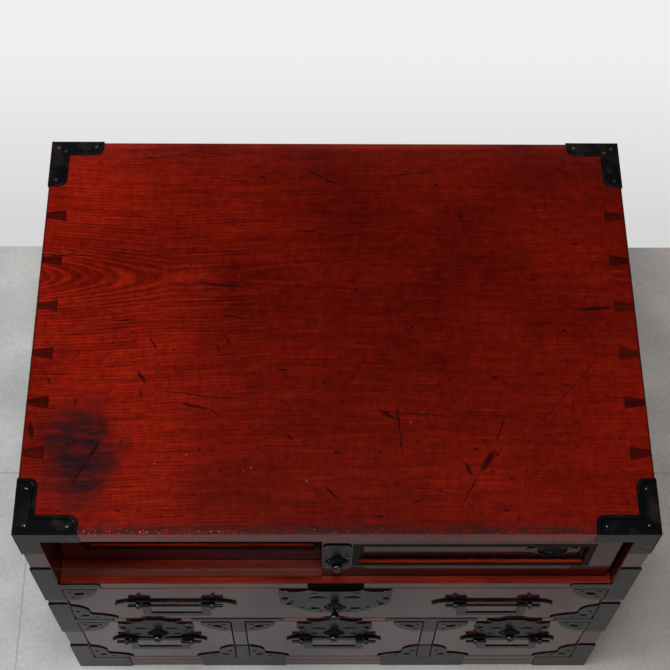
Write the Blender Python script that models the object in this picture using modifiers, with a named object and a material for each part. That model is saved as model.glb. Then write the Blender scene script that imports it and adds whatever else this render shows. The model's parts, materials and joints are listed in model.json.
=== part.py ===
"""A lacquered sea chest with black ironwork: two sliding doors above one wide and three small drawers.

Metres, +Z up. The front faces -Y. The origin is on the floor, in the middle of the chest's outer box.
"""

import math

import bmesh
import bpy

# Carcass, over the wood
WIDTH = 0.604
DEPTH = 0.442
HEIGHT = 0.453
SIDE_BOARD = 0.021
TOP_BOARD = 0.021
BACK_PANEL = 0.008
EDGE = 0.0010
SEAT = 0.0003

# Heights on the front, from the floor up. The small drawers take what is left
BASE_RAIL_HEIGHT = 0.023
BOTTOM_BOARD = 0.015
MIDDLE_RAIL_HEIGHT = 0.011
WIDE_BAY_HEIGHT = 0.104
SILL_HEIGHT = 0.015
DOOR_BAY_HEIGHT = 0.123

# Depths of the rails, and the boards behind and between them
BASE_RAIL_DEPTH = 0.030
MIDDLE_RAIL_DEPTH = 0.045
MIDDLE_SHELF = 0.009
SILL_DEPTH = 0.050
UPPER_SHELF = 0.012
DIVIDER = 0.015
MIDDLE_BAY = 0.197

# Dovetails between the top and the sides
PIN_COUNT = 6
PIN_OUTER = 0.0055
PIN_INNER = 0.013
PIN_FRONT_MARGIN = 0.082
PIN_REAR_MARGIN = 0.092

# Door tracks
TRACK_LIP = 0.008
TRACK_WIDTH = 0.0087
TRACK_PITCH = 0.017
LOWER_TRACK_DEPTH = 0.0045
UPPER_TRACK_DEPTH = 0.008
TRACK_CLEARANCE = 0.00035

# Sliding doors
DOOR_OVERLAP = 0.029
DOOR_THICKNESS = 0.0155
DOOR_STILE = 0.024
MEETING_STILE = 0.030
DOOR_RAIL = 0.029
DOOR_SIDE_GAP = 0.0045
DOOR_BOTTOM_GAP = 0.0008
DOOR_TOP_GAP = 0.0010
UPPER_TONGUE = 0.005
BEAD_WIDTH = 0.007
BEAD_RECESS = 0.0012
PANEL_RECESS = 0.006
PANEL_LIP = 0.006

# Finger pulls of the doors
PULL_INSET = 0.0635
PULL_WIDTH = 0.0485
PULL_HEIGHT = 0.034
CUP_RADIUS = 0.0145
CUP_DEPTH = 0.006
CUP_RIM_WIDTH = 0.002
CUP_RIM_HEIGHT = 0.0014

# Drawers
DRAWER_GAP = 0.0009
DRAWER_FRONT = 0.018
DRAWER_SIDE = 0.009
DRAWER_BOTTOM = 0.006
DRAWER_SIDE_GAP = 0.0012
DRAWER_TOP_GAP = 0.007
DRAWER_REAR_GAP = 0.010

# Iron sheet and the irons of the carcass
IRON = 0.0007
ARM_ROUND = 0.004
CORNER_ARM_X = 0.061
CORNER_ARM_Y = 0.057
CORNER_BAND = 0.020
CORNER_DROP = 0.054
REAR_ARM_X = 0.056
REAR_BAND = 0.017
SIDE_RETURN = 0.040
STILE_ARM = 0.041
SILL_IRON_RISE = 0.047
SILL_IRON_DROP = 0.036
RAIL_IRON_RISE = 0.053
RAIL_IRON_DROP = 0.036
BASE_IRON_RISE = 0.049

# Locks: a plate, a petalled boss and a round push button
WIDE_LOCK_WIDTH = 0.117
WIDE_LOCK_HEIGHT = 0.079
WIDE_BOSS_RISE = 0.0055
SMALL_LOCK_WIDTH = 0.082
SMALL_LOCK_HEIGHT = 0.0555
SMALL_BOSS_RISE = 0.0027
DOOR_LOCK_WIDTH = 0.0285
DOOR_LOCK_HEIGHT = 0.070
DOOR_LOCK_CLIP = 0.005
DOOR_LOCK_RISE = 0.058
DOOR_BUTTON_DROP = 0.012
LOCK_TOP_GAP = 0.0015
BOSS_RADIUS = 0.012
BOSS_HEIGHT = 0.005
BOSS_PETALS = 4
PETAL_DEPTH = 0.0034
BUTTON_RADIUS = 0.005
WIDE_BUTTON_REACH = 0.0165
BUTTON_REACH = 0.012
BUTTON_DOME = 0.004
BUTTON_TAIL = 0.004
BUTTON_TRAVEL = 0.006
BUTTON_CLEARANCE = 0.0004

# Handles: a back bar with horns, two eye posts and a flat bail
WIDE_HANDLE_LEFT_INSET = 0.113
WIDE_HANDLE_RIGHT_INSET = 0.115
WIDE_HANDLE_RISE = 0.0085
SMALL_HANDLE_GAP = 0.0008
WIDE_POST_SPACING = 0.078
SMALL_POST_SPACING = 0.073
WIDE_HORN = 0.024
SMALL_HORN = 0.016
HORN_CURL = 0.0088
HORN_TIP = 0.0012
BACK_BAR_HEIGHT = 0.008
BACK_BAR_THICKNESS = 0.002
PIVOT_OUT = 0.005
EYE_RADIUS = 0.0042
EYE_LENGTH = 0.005
ROD_RADIUS = 0.00175
ROD_CLEARANCE = 0.0003
ROD_TAIL = 0.011
SHANK_RADIUS = 0.0025
SHANK_LENGTH = 0.012
BAIL_STRIP = 0.0095
BAIL_THICKNESS = 0.0022
WIDE_BAIL_DROP = 0.032
SMALL_BAIL_DROP = 0.026
BAIL_ROUND = 0.0024

# Places worked out from the sizes above
SHEET_OUT = SEAT + IRON
FRONT = (WIDE_BUTTON_REACH - SHEET_OUT - DEPTH) / 2
REAR = FRONT + DEPTH
HALF = WIDTH / 2
INNER = HALF - SIDE_BOARD
ROOM = INNER - SEAT
BACK_FACE = REAR - BACK_PANEL - SEAT
SMALL_Z = BASE_RAIL_HEIGHT + BOTTOM_BOARD
TOP_Z = HEIGHT - TOP_BOARD
DOOR_Z = TOP_Z - DOOR_BAY_HEIGHT
SILL_Z = DOOR_Z - SILL_HEIGHT
WIDE_Z = SILL_Z - WIDE_BAY_HEIGHT
RAIL_Z = WIDE_Z - MIDDLE_RAIL_HEIGHT
DIVIDER_X = MIDDLE_BAY / 2
SIDE_BAY_X = DIVIDER_X + DIVIDER
DOOR_WIDTH = INNER - DOOR_SIDE_GAP + DOOR_OVERLAP / 2

# Half outlines, from the bottom middle round to the top: shares of the half width and of the height, and how
# far the stretch to the next point swells outwards. The lock plates are measured down from their top edge.
WIDE_LOCK_HALF = [
    (0.00, -1.00, 0.12), (0.22, -0.94, 0.40), (0.44, -0.84, 0.40), (0.64, -0.75, 0.40), (0.88, -0.59, 0.40),
    (1.00, -0.32, 0.20), (0.98, -0.02, 0.30), (0.83, -0.05, -0.65), (0.48, 0.00, 0.00),
]
SMALL_LOCK_HALF = [
    (0.00, -1.00, 0.15), (0.36, -0.92, 0.40), (0.68, -0.77, 0.40), (0.88, -0.57, 0.35),
    (1.00, -0.30, 0.10), (0.97, -0.02, 0.30), (0.80, -0.06, -0.60), (0.50, 0.00, 0.00),
]
PULL_HALF = [
    (0.00, -1.00, 0.30), (0.42, -0.86, 0.20), (0.62, -0.58, -0.30), (1.00, -0.30, 0.30),
    (1.00, 0.30, -0.30), (0.62, 0.58, 0.20), (0.42, 0.86, 0.30), (0.00, 1.00, 0.30),
]
HORN_HOLLOW = -0.25
HORN_CROWN = 0.35
QUARTER_SWELL = math.sqrt(2) - 1

# Facets of round stretches, and how far a cutter reaches past what it cuts
ARC_STEPS = 4
DOME_STEPS = 4
ROUND_STEPS = 20
ROD_STEPS = 16
SHANK_STEPS = 12
SHARP_ANGLE = math.radians(35)
BEYOND = 0.010

PARTS = bpy.data.collections.new("sea_chest")
CUTTERS = bpy.data.collections.new("cutters")
SIDES = (("left", -1), ("right", 1))


def clear_scene():
    for old in list(bpy.data.objects):
        bpy.data.objects.remove(old)
    bpy.context.scene.collection.children.link(PARTS)
    bpy.context.scene.collection.children.link(CUTTERS)
    CUTTERS.hide_render = True


def finish(name, colour, roughness, metallic):
    """A plain Principled material."""
    material = bpy.data.materials.new(name)
    material.use_nodes = True
    shader = material.node_tree.nodes["Principled BSDF"]
    shader.inputs["Base Color"].default_value = (*colour, 1)
    shader.inputs["Roughness"].default_value = roughness
    shader.inputs["Metallic"].default_value = metallic
    return material


def body(name, at):
    """An empty that carries the pieces of one moving body."""
    empty = bpy.data.objects.new(name, None)
    empty.location = at
    PARTS.objects.link(empty)
    return empty


def add(name, mesh, at, carrier, material):
    """Puts a mesh in the scene at a world place, carried by a body. With no material it is a cutter."""
    obj = bpy.data.objects.new(name, mesh)
    obj.location = at
    if carrier:
        obj.parent = carrier
        obj.location -= carrier.location
    if material:
        mesh.materials.append(material)
        PARTS.objects.link(obj)
    else:
        as_cutter(obj)
    return obj


def as_cutter(obj):
    for collection in list(obj.users_collection):
        collection.objects.unlink(obj)
    CUTTERS.objects.link(obj)
    obj.hide_render = True
    obj.display_type = "WIRE"


def to_mesh(name, bm):
    bmesh.ops.recalc_face_normals(bm, faces=bm.faces)
    mesh = bpy.data.meshes.new(name)
    bm.to_mesh(mesh)
    bm.free()
    return mesh


def boolean(obj, other, operation):
    """Cuts other out of obj, or joins it on."""
    modifier = obj.modifiers.new(operation.lower() + " " + other.name, "BOOLEAN")
    modifier.operation = operation
    modifier.solver = "EXACT"
    modifier.object = other
    if operation == "UNION":
        as_cutter(other)


def box(name, low, high, carrier=None, material=None, edge=0.0):
    """A block between two world corners, with eased edges."""
    bm = bmesh.new()
    bmesh.ops.create_cube(bm, size=1)
    bmesh.ops.scale(bm, vec=[h - l for l, h in zip(low, high)], verts=bm.verts)
    middle = [(l + h) / 2 for l, h in zip(low, high)]
    obj = add(name, to_mesh(name, bm), middle, carrier, material)
    if edge:
        bevel = obj.modifiers.new("eased edges", "BEVEL")
        bevel.width = edge
        bevel.segments = 2
    return obj


def rod(name, radius, start, end, carrier, steps=ROUND_STEPS):
    """A round bar along X or Y between two world points, to join to a piece or to bore a hole."""
    length = math.dist(start, end)
    bm = bmesh.new()
    bmesh.ops.create_cone(
        bm, cap_ends=True, segments=steps, radius1=radius, radius2=radius, depth=length
    )
    mesh = to_mesh(name, bm)
    mesh.shade_smooth()
    mesh.set_sharp_from_angle(angle=SHARP_ANGLE)
    middle = [(s + e) / 2 for s, e in zip(start, end)]
    obj = add(name, mesh, middle, carrier, None)
    if start[0] != end[0]:
        obj.rotation_euler = (0, math.pi / 2, 0)
    else:
        obj.rotation_euler = (math.pi / 2, 0, 0)
    return obj


def stretch(start, end, swell):
    """Points from start up to end, on an arc that swells to the right by that share of half its chord."""
    if not swell:
        return [start]
    run = (end[0] - start[0], end[1] - start[1])
    half = math.hypot(*run) / 2
    along = (run[0] / half / 2, run[1] / half / 2)
    out = (along[1], -along[0])
    sag = swell * half
    radius = (half * half + sag * sag) / (2 * sag)
    centre = [(s + e) / 2 + o * (sag - radius) for s, e, o in zip(start, end, out)]
    reach = 2 * math.atan(swell)
    points = []
    for step in range(ARC_STEPS):
        turn = -reach + 2 * reach * step / ARC_STEPS
        across = radius * math.sin(turn)
        rise = radius * math.cos(turn)
        points.append(tuple(c + across * a + rise * o for c, a, o in zip(centre, along, out)))
    return points


def outline(corners):
    """The closed outline through corners of (x, z, swell), anticlockwise."""
    points = []
    for corner, following in zip(corners, corners[1:] + corners[:1]):
        points += stretch(corner[:2], following[:2], corner[2])
    return points


def mirrored(half, wide, tall):
    """Both halves of an outline that is given by its right half in shares of a half width and a height."""
    right = [(x * wide, z * tall, swell) for x, z, swell in half]
    swells = [swell for _, _, swell in right]
    left = [(-x, z, swell) for (x, z, _), swell in zip(right[::-1], swells[-2::-1] + [0])]
    if right[-1][0] == 0:
        left.pop(0)
        right[-1] = (*right[-1][:2], swells[-2])
    if right[0][0] == 0:
        left.pop()
    return outline(right + left)


def sheet_mesh(name, points, thickness):
    """A flat plate with this outline in X and Z. Its back is at y = 0 and it grows towards -Y."""
    curve = bpy.data.curves.new(name, "CURVE")
    curve.dimensions = "2D"
    curve.fill_mode = "BOTH"
    curve.extrude = thickness / 2
    spline = curve.splines.new("POLY")
    spline.points.add(len(points) - 1)
    for point, (x, z) in zip(spline.points, points):
        point.co = (x, z, 0, 1)
    spline.use_cyclic_u = True
    holder = bpy.data.objects.new(name, curve)
    bpy.context.scene.collection.objects.link(holder)
    graph = bpy.context.evaluated_depsgraph_get()
    flat = bpy.data.meshes.new_from_object(holder.evaluated_get(graph))
    bpy.data.objects.remove(holder)
    bm = bmesh.new()
    bm.from_mesh(flat)
    bpy.data.meshes.remove(flat)
    bmesh.ops.remove_doubles(bm, verts=bm.verts, dist=1e-6)
    for vertex in bm.verts:
        vertex.co = (vertex.co.x, -vertex.co.z - thickness / 2, vertex.co.y)
    return to_mesh(name, bm)


def turned(name, profile, at, carrier, material=None):
    """A shape turned about the line along Y through a world point, from (radius, reach towards -Y)."""
    mesh = bpy.data.meshes.new(name)
    edges = [(i, i + 1) for i in range(len(profile) - 1)]
    mesh.from_pydata([(radius, 0, reach) for radius, reach in profile], edges, [])
    obj = add(name, mesh, at, carrier, material)
    obj.rotation_euler = (math.pi / 2, 0, 0)
    screw = obj.modifiers.new("turned", "SCREW")
    screw.axis = "Z"
    screw.steps = ROUND_STEPS
    screw.render_steps = ROUND_STEPS
    screw.use_smooth_shade = True
    screw.use_merge_vertices = True
    screw.merge_threshold = 0.00001
    return obj


def quarter_round():
    """A quarter circle from its pole to its rim, as shares (across, along) of a radius and a height."""
    turns = [math.pi / 2 * step / DOME_STEPS for step in range(DOME_STEPS + 1)]
    return [(math.sin(turn), math.cos(turn)) for turn in turns]


def prisms(name, outlines, low, high):
    """One cutter of several upright prisms, each with an outline in X and Y."""
    bm = bmesh.new()
    for points in outlines:
        base = bm.faces.new([bm.verts.new((x, y, low)) for x, y in points])
        grown = bmesh.ops.extrude_face_region(bm, geom=[base])
        lifted = [item for item in grown["geom"] if isinstance(item, bmesh.types.BMVert)]
        bmesh.ops.translate(bm, vec=(0, 0, high - low), verts=lifted)
    return add(name, to_mesh(name, bm), (0, 0, 0), None, None)


def pin_places():
    """The Y of each dovetail pin."""
    first = FRONT + PIN_FRONT_MARGIN
    pitch = (DEPTH - PIN_FRONT_MARGIN - PIN_REAR_MARGIN) / (PIN_COUNT - 1)
    return [first + pitch * i for i in range(PIN_COUNT)]


def pin_half_width(x):
    """Half a pin's width at a distance x from the middle of the chest."""
    share = (HALF - x) / SIDE_BOARD
    return (PIN_OUTER + (PIN_INNER - PIN_OUTER) * share) / 2


def wedge(sign, outer_x, inner_x, outer_span, inner_span):
    """The corners, seen from above, of a tapered block that lies across a side board."""
    return [
        (sign * outer_x, outer_span[0]), (sign * outer_x, outer_span[1]),
        (sign * inner_x, inner_span[1]), (sign * inner_x, inner_span[0]),
    ]


def pin_sockets(sign):
    """The sockets in the top board for the pins of one side."""
    outer_x = HALF + BEYOND
    outer = pin_half_width(outer_x) + SEAT
    inner = pin_half_width(ROOM) + SEAT
    return [
        wedge(sign, outer_x, ROOM, (y - outer, y + outer), (y - inner, y + inner)) for y in pin_places()
    ]


def pin_gaps(sign):
    """The wood that is cut away between the pins of one side board."""
    outer_x = HALF + BEYOND
    inner_x = INNER - BEYOND
    outer = pin_half_width(outer_x)
    inner = pin_half_width(inner_x)
    ends = [FRONT - PIN_INNER - BEYOND] + pin_places() + [REAR + PIN_INNER + BEYOND]
    return [
        wedge(sign, outer_x, inner_x, (before + outer, after - outer), (before + inner, after - inner))
        for before, after in zip(ends, ends[1:])
    ]


def cut_tracks(board, where, low, high):
    """Cuts the front and the rear door track into a board, between two heights."""
    for place, y in (("front", FRONT + TRACK_LIP), ("rear", FRONT + TRACK_LIP + TRACK_PITCH)):
        groove = box(place + "_" + where + "_track", (-INNER, y, low), (INNER, y + TRACK_WIDTH, high))
        boolean(board, groove, "DIFFERENCE")


def make_top_and_sides(wood):
    """The top board, with the upper tracks under it, dovetailed to the two sides."""
    top = box("top_board", (-HALF, FRONT, TOP_Z), (HALF, REAR, HEIGHT), None, wood, EDGE)
    cut_tracks(top, "upper", TOP_Z - BEYOND, TOP_Z + UPPER_TRACK_DEPTH)
    for side, sign in SIDES:
        sockets = prisms(side + "_pin_sockets", pin_sockets(sign), TOP_Z - BEYOND, HEIGHT + BEYOND)
        boolean(top, sockets, "DIFFERENCE")
        low_x, high_x = sorted((sign * INNER, sign * HALF))
        board = box(side + "_side_board", (low_x, FRONT, 0), (high_x, REAR, HEIGHT), None, wood, EDGE)
        gaps = prisms(side + "_pin_gaps", pin_gaps(sign), TOP_Z - SEAT, HEIGHT + BEYOND)
        boolean(board, gaps, "DIFFERENCE")


def make_inner_boards(wood, plain_wood):
    """The back, the base, the rails with the shelves behind them, and the dividers."""
    shelf_front = FRONT + MIDDLE_RAIL_DEPTH + SEAT
    upper_shelf_front = FRONT + SILL_DEPTH + SEAT
    base_rail_top = BASE_RAIL_HEIGHT - SEAT
    boards = [
        ("back_panel", (REAR - BACK_PANEL, REAR), (0, TOP_Z - SEAT), wood),
        ("base_front_rail", (FRONT, FRONT + BASE_RAIL_DEPTH), (0, base_rail_top), wood),
        ("bottom_board", (FRONT, BACK_FACE), (BASE_RAIL_HEIGHT, SMALL_Z), wood),
        ("middle_rail", (FRONT, FRONT + MIDDLE_RAIL_DEPTH), (RAIL_Z, WIDE_Z), wood),
        ("middle_shelf", (shelf_front, BACK_FACE), (WIDE_Z - MIDDLE_SHELF, WIDE_Z), plain_wood),
        ("upper_shelf", (upper_shelf_front, BACK_FACE), (DOOR_Z - UPPER_SHELF, DOOR_Z), plain_wood),
    ]
    for name, (near, far), (low, high), material in boards:
        box(name, (-ROOM, near, low), (ROOM, far, high), None, material, EDGE)
    sill = box("door_sill", (-ROOM, FRONT, SILL_Z), (ROOM, FRONT + SILL_DEPTH, DOOR_Z), None, wood, EDGE)
    cut_tracks(sill, "lower", DOOR_Z - LOWER_TRACK_DEPTH, DOOR_Z + BEYOND)
    for side, sign in SIDES:
        low_x, high_x = sorted((sign * DIVIDER_X, sign * SIDE_BAY_X))
        low = (low_x, FRONT, SMALL_Z + SEAT)
        high = (high_x, BACK_FACE, RAIL_Z - SEAT)
        box(side + "_divider", low, high, None, wood, EDGE)


def corner_box(name, sign, facing, x_span, y_span, z_span, material=None):
    """A block given on the right rear corner, or turned over to another corner of the chest."""
    xs = sorted(sign * x for x in x_span)
    ys = sorted(y if facing > 0 else FRONT + REAR - y for y in y_span)
    return box(name, (xs[0], ys[0], z_span[0]), (xs[1], ys[1], z_span[1]), None, material)


def bent_sheet(name, sign, facing, x_end, y_end, z_span, capped, iron):
    """Sheet iron bent round an upright edge of the chest, and over the top where it is capped."""
    low, high = z_span
    sheet = corner_box(name, sign, facing, (x_end, HALF + SHEET_OUT), (y_end, REAR + SHEET_OUT), z_span, iron)
    core_top = HEIGHT + SEAT if capped else high + BEYOND
    core = corner_box(
        name + "_core", sign, facing,
        (x_end - BEYOND, HALF + SEAT), (y_end - BEYOND, REAR + SEAT), (low - BEYOND, core_top),
    )
    boolean(sheet, core, "DIFFERENCE")
    return sheet


def arm_waste(end, edge, far, up):
    """What is cut from a stile iron beside its arm, up or down, leaving the arm's end rounded."""
    return outline(
        [
            (INNER, edge, 0), (INNER, far + up * BEYOND, 0), (end - BEYOND, far + up * BEYOND, 0),
            (end - BEYOND, edge - up * ARM_ROUND, 0), (end, edge - up * ARM_ROUND, up * QUARTER_SWELL),
            (end + ARM_ROUND, edge, 0),
        ]
    )


def stile_iron(name, sign, stile, arm, iron):
    """An iron bent round a front post, with an arm along a rail."""
    end = INNER - STILE_ARM
    sheet = bent_sheet(name, sign, -1, end, REAR - SIDE_RETURN, stile, False, iron)
    wastes = [("above", arm[1], stile[1], 1)]
    if arm[0] > stile[0]:
        wastes.append(("below", arm[0], stile[0], -1))
    for place, edge, far, up in wastes:
        points = [(sign * x, z) for x, z in arm_waste(end, edge, far, up)]
        label = name + "_" + place
        waste = add(label, sheet_mesh(label, points, 2 * BEYOND), (0, FRONT + BEYOND, 0), None, None)
        boolean(sheet, waste, "DIFFERENCE")


def top_corner_iron(name, sign, facing, arm_x, band_y, iron):
    """An iron over a corner of the top: two arms on the top face, and returns down the two faces below."""
    outer_x = HALF + SHEET_OUT
    outer_y = REAR + SHEET_OUT
    roof = HEIGHT + SHEET_OUT
    eaves = TOP_Z + SEAT
    foot = roof - CORNER_DROP
    x_end = outer_x - arm_x
    y_end = outer_y - CORNER_ARM_Y
    x_band = outer_x - CORNER_BAND
    y_band = outer_y - CORNER_BAND
    sheet = bent_sheet(name, sign, facing, x_end, y_end, (foot, roof), True, iron)
    wastes = {
        "_top_waste": ((x_end - BEYOND, x_band), (y_end - BEYOND, outer_y - band_y), (HEIGHT, roof + BEYOND)),
        "_face_waste": ((x_end - BEYOND, INNER), (REAR, outer_y + BEYOND), (foot - BEYOND, eaves)),
        "_side_waste": ((HALF, outer_x + BEYOND), (y_end - BEYOND, y_band), (foot - BEYOND, eaves)),
    }
    for place, spans in wastes.items():
        boolean(sheet, corner_box(name + place, sign, facing, *spans), "DIFFERENCE")


def make_irons(iron):
    for side, sign in SIDES:
        top_corner_iron("front_" + side + "_corner_iron", sign, -1, CORNER_ARM_X, CORNER_BAND, iron)
        top_corner_iron("rear_" + side + "_corner_iron", sign, 1, REAR_ARM_X, REAR_BAND, iron)
        stile_irons = [
            ("_sill_iron", SILL_Z - SILL_IRON_DROP, DOOR_Z + SILL_IRON_RISE, SILL_Z, DOOR_Z),
            ("_rail_iron", RAIL_Z - RAIL_IRON_DROP, WIDE_Z + RAIL_IRON_RISE, RAIL_Z, WIDE_Z),
            ("_base_iron", SEAT, SMALL_Z + BASE_IRON_RISE, 0, SMALL_Z),
        ]
        for place, low, high, rail_low, rail_high in stile_irons:
            stile_iron(side + place, sign, (low, high), (rail_low + SEAT, rail_high - SEAT), iron)


def boss_outline():
    """A rosette of round petals."""
    points = []
    count = ROUND_STEPS * 2
    for step in range(count):
        turn = math.tau * step / count
        radius = BOSS_RADIUS - PETAL_DEPTH / 2 * (1 - math.cos(BOSS_PETALS * turn))
        points.append((radius * math.cos(turn), radius * math.sin(turn)))
    return points


def button_profile(reach):
    """The push button from its domed end to its flat tail, as (radius, distance from the wood)."""
    shoulder = reach - BUTTON_DOME
    dome = [(BUTTON_RADIUS * across, shoulder + BUTTON_DOME * along) for across, along in quarter_round()]
    return dome + [(BUTTON_RADIUS, -BUTTON_TAIL), (0, -BUTTON_TAIL)]


def make_lock(name, wood_piece, carrier, plate_points, plate_at, button_at, reach, iron):
    """A lock plate with its boss on a wooden face, the push button in it and the bore for its travel."""
    x, face, z = button_at
    plate = add(name + "_plate", sheet_mesh(name + "_plate", plate_points, IRON), plate_at, carrier, iron)
    boss_root = SEAT + IRON / 2
    boss_mesh = sheet_mesh(name + "_boss", boss_outline(), BOSS_HEIGHT - IRON / 2)
    boss = add(name + "_boss", boss_mesh, (x, face - boss_root, z), carrier, None)
    boolean(plate, boss, "UNION")
    bore = rod(
        name + "_bore", BUTTON_RADIUS + BUTTON_CLEARANCE,
        (x, face - reach, z), (x, face + BUTTON_TAIL + BUTTON_TRAVEL + SEAT, z), carrier,
    )
    boolean(plate, bore, "DIFFERENCE")
    boolean(wood_piece, bore, "DIFFERENCE")
    turned(name + "_button", button_profile(reach), button_at, carrier, iron)


def horn_bar_outline(half_spacing, horn):
    """The back bar of a handle: level between its posts, with a horn that curls down at each end."""
    half_height = BACK_BAR_HEIGHT / 2
    root = half_spacing + EYE_RADIUS
    tip = half_spacing + horn
    right = [
        (root, -half_height, HORN_HOLLOW), (tip, -HORN_CURL, 0),
        (tip + HORN_TIP, -HORN_CURL + 2 * HORN_TIP, HORN_CROWN), (root, half_height, 0),
    ]
    left_swells = [HORN_CROWN, 0, HORN_HOLLOW, 0]
    left = [(-x, z, swell) for (x, z, _), swell in zip(right[::-1], left_swells)]
    return outline(right + left)


def make_handle(name, x, z, spacing, horn, drop, front_piece, carrier, iron):
    """A back bar with two eye posts on a drawer front, and the bail that hangs in the eyes."""
    half = spacing / 2
    pivot_y = FRONT - PIVOT_OUT
    bar = sheet_mesh(name + "_mount", horn_bar_outline(half, horn), BACK_BAR_THICKNESS)
    mount = add(name + "_mount", bar, (x, FRONT - SEAT, z), carrier, iron)
    make_bail(name, x, z, half, drop, carrier, iron)
    for side, sign in SIDES:
        post = x + sign * half
        part = name + "_" + side
        eye = rod(
            part + "_eye", EYE_RADIUS,
            (post - EYE_LENGTH / 2, pivot_y, z), (post + EYE_LENGTH / 2, pivot_y, z), carrier,
        )
        boolean(mount, eye, "UNION")
        shank = rod(
            part + "_shank", SHANK_RADIUS,
            (post, FRONT - SEAT - BACK_BAR_THICKNESS / 2, z), (post, FRONT + SHANK_LENGTH, z),
            carrier, SHANK_STEPS,
        )
        boolean(mount, shank, "UNION")
        bore = rod(
            part + "_eye_bore", ROD_RADIUS + ROD_CLEARANCE,
            (post - EYE_LENGTH, pivot_y, z), (post + EYE_LENGTH, pivot_y, z), carrier, ROD_STEPS,
        )
        boolean(mount, bore, "DIFFERENCE")
        hole = rod(
            part + "_shank_hole", SHANK_RADIUS + SEAT,
            (post, FRONT - BEYOND, z), (post, FRONT + SHANK_LENGTH + SEAT, z), carrier, SHANK_STEPS,
        )
        boolean(front_piece, hole, "DIFFERENCE")


def make_bail(name, x, z, half, drop, carrier, iron):
    """A flat strip bent to a square U. Its ends are drawn out to round rods that turn in the eyes."""
    outer = half - EYE_LENGTH / 2 - SEAT
    inner = outer - BAIL_STRIP
    top = ROD_RADIUS / 2
    corners = [
        (-outer + BAIL_ROUND, -drop, 0), (outer - BAIL_ROUND, -drop, QUARTER_SWELL),
        (outer, -drop + BAIL_ROUND, 0), (outer, top, 0), (inner, top, 0),
        (inner, -drop + BAIL_STRIP, 0), (-inner, -drop + BAIL_STRIP, 0), (-inner, top, 0),
        (-outer, top, 0), (-outer, -drop + BAIL_ROUND, QUARTER_SWELL),
    ]
    mesh = sheet_mesh(name + "_bail", outline(corners), BAIL_THICKNESS)
    for vertex in mesh.vertices:
        vertex.co.y += BAIL_THICKNESS / 2
    pivot_y = FRONT - PIVOT_OUT
    bail = add(name + "_bail", mesh, (x, pivot_y, z), carrier, iron)
    for side, sign in SIDES:
        end = rod(
            name + "_" + side + "_rod", ROD_RADIUS,
            (x + sign * inner, pivot_y, z), (x + sign * (half + ROD_TAIL), pivot_y, z), carrier, ROD_STEPS,
        )
        boolean(bail, end, "UNION")


def make_drawer(name, x_low, x_high, z_low, z_high, wood, plain_wood):
    """A drawer in its bay: a flush front, a box of two sides and a back, and a bottom under them."""
    carrier = body(name, ((x_low + x_high) / 2, FRONT, (z_low + z_high) / 2))
    front = box(
        name + "_front",
        (x_low + DRAWER_GAP, FRONT, z_low + DRAWER_GAP),
        (x_high - DRAWER_GAP, FRONT + DRAWER_FRONT, z_high - DRAWER_GAP),
        carrier, wood, EDGE,
    )
    left = x_low + DRAWER_SIDE_GAP
    right = x_high - DRAWER_SIDE_GAP
    near = FRONT + DRAWER_FRONT + SEAT
    far = BACK_FACE - DRAWER_REAR_GAP
    floor = z_low + SEAT
    box(name + "_bottom", (left, near, floor), (right, far, floor + DRAWER_BOTTOM), carrier, plain_wood)
    foot = floor + DRAWER_BOTTOM + SEAT
    walls = box(name + "_box", (left, near, foot), (right, far, z_high - DRAWER_TOP_GAP), carrier, plain_wood)
    inside = box(
        name + "_inside",
        (left + DRAWER_SIDE, near - BEYOND, foot - BEYOND),
        (right - DRAWER_SIDE, far - DRAWER_SIDE, z_high + BEYOND),
        carrier,
    )
    boolean(walls, inside, "DIFFERENCE")
    return carrier, front


def make_drawers(wood, plain_wood, iron):
    carrier, front = make_drawer("wide_drawer", -INNER, INNER, WIDE_Z, SILL_Z, wood, plain_wood)
    plate = mirrored(WIDE_LOCK_HALF, WIDE_LOCK_WIDTH / 2, WIDE_LOCK_HEIGHT)
    top = SILL_Z - LOCK_TOP_GAP
    button_z = top - WIDE_LOCK_HEIGHT + WIDE_BOSS_RISE + BOSS_RADIUS
    make_lock(
        "wide_lock", front, carrier, plate,
        (0, FRONT - SEAT, top), (0, FRONT, button_z), WIDE_BUTTON_REACH, iron,
    )
    level = (WIDE_Z + SILL_Z) / 2 + WIDE_HANDLE_RISE
    handles = (("left", -INNER + WIDE_HANDLE_LEFT_INSET), ("right", INNER - WIDE_HANDLE_RIGHT_INSET))
    for side, x in handles:
        make_handle(
            "wide_" + side + "_handle", x, level, WIDE_POST_SPACING, WIDE_HORN, WIDE_BAIL_DROP,
            front, carrier, iron,
        )

    bays = [("left", -INNER, -SIDE_BAY_X), ("middle", -DIVIDER_X, DIVIDER_X), ("right", SIDE_BAY_X, INNER)]
    plate = mirrored(SMALL_LOCK_HALF, SMALL_LOCK_WIDTH / 2, SMALL_LOCK_HEIGHT)
    top = RAIL_Z - LOCK_TOP_GAP
    button_z = top - SMALL_LOCK_HEIGHT + SMALL_BOSS_RISE + BOSS_RADIUS
    level = top - SMALL_LOCK_HEIGHT - SMALL_HANDLE_GAP - EYE_RADIUS
    for place, x_low, x_high in bays:
        carrier, front = make_drawer(place + "_drawer", x_low, x_high, SMALL_Z, RAIL_Z, wood, plain_wood)
        x = (x_low + x_high) / 2
        make_lock(
            place + "_lock", front, carrier, plate,
            (x, FRONT - SEAT, top), (x, FRONT, button_z), BUTTON_REACH, iron,
        )
        make_handle(
            place + "_handle", x, level, SMALL_POST_SPACING, SMALL_HORN, SMALL_BAIL_DROP,
            front, carrier, iron,
        )


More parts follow.
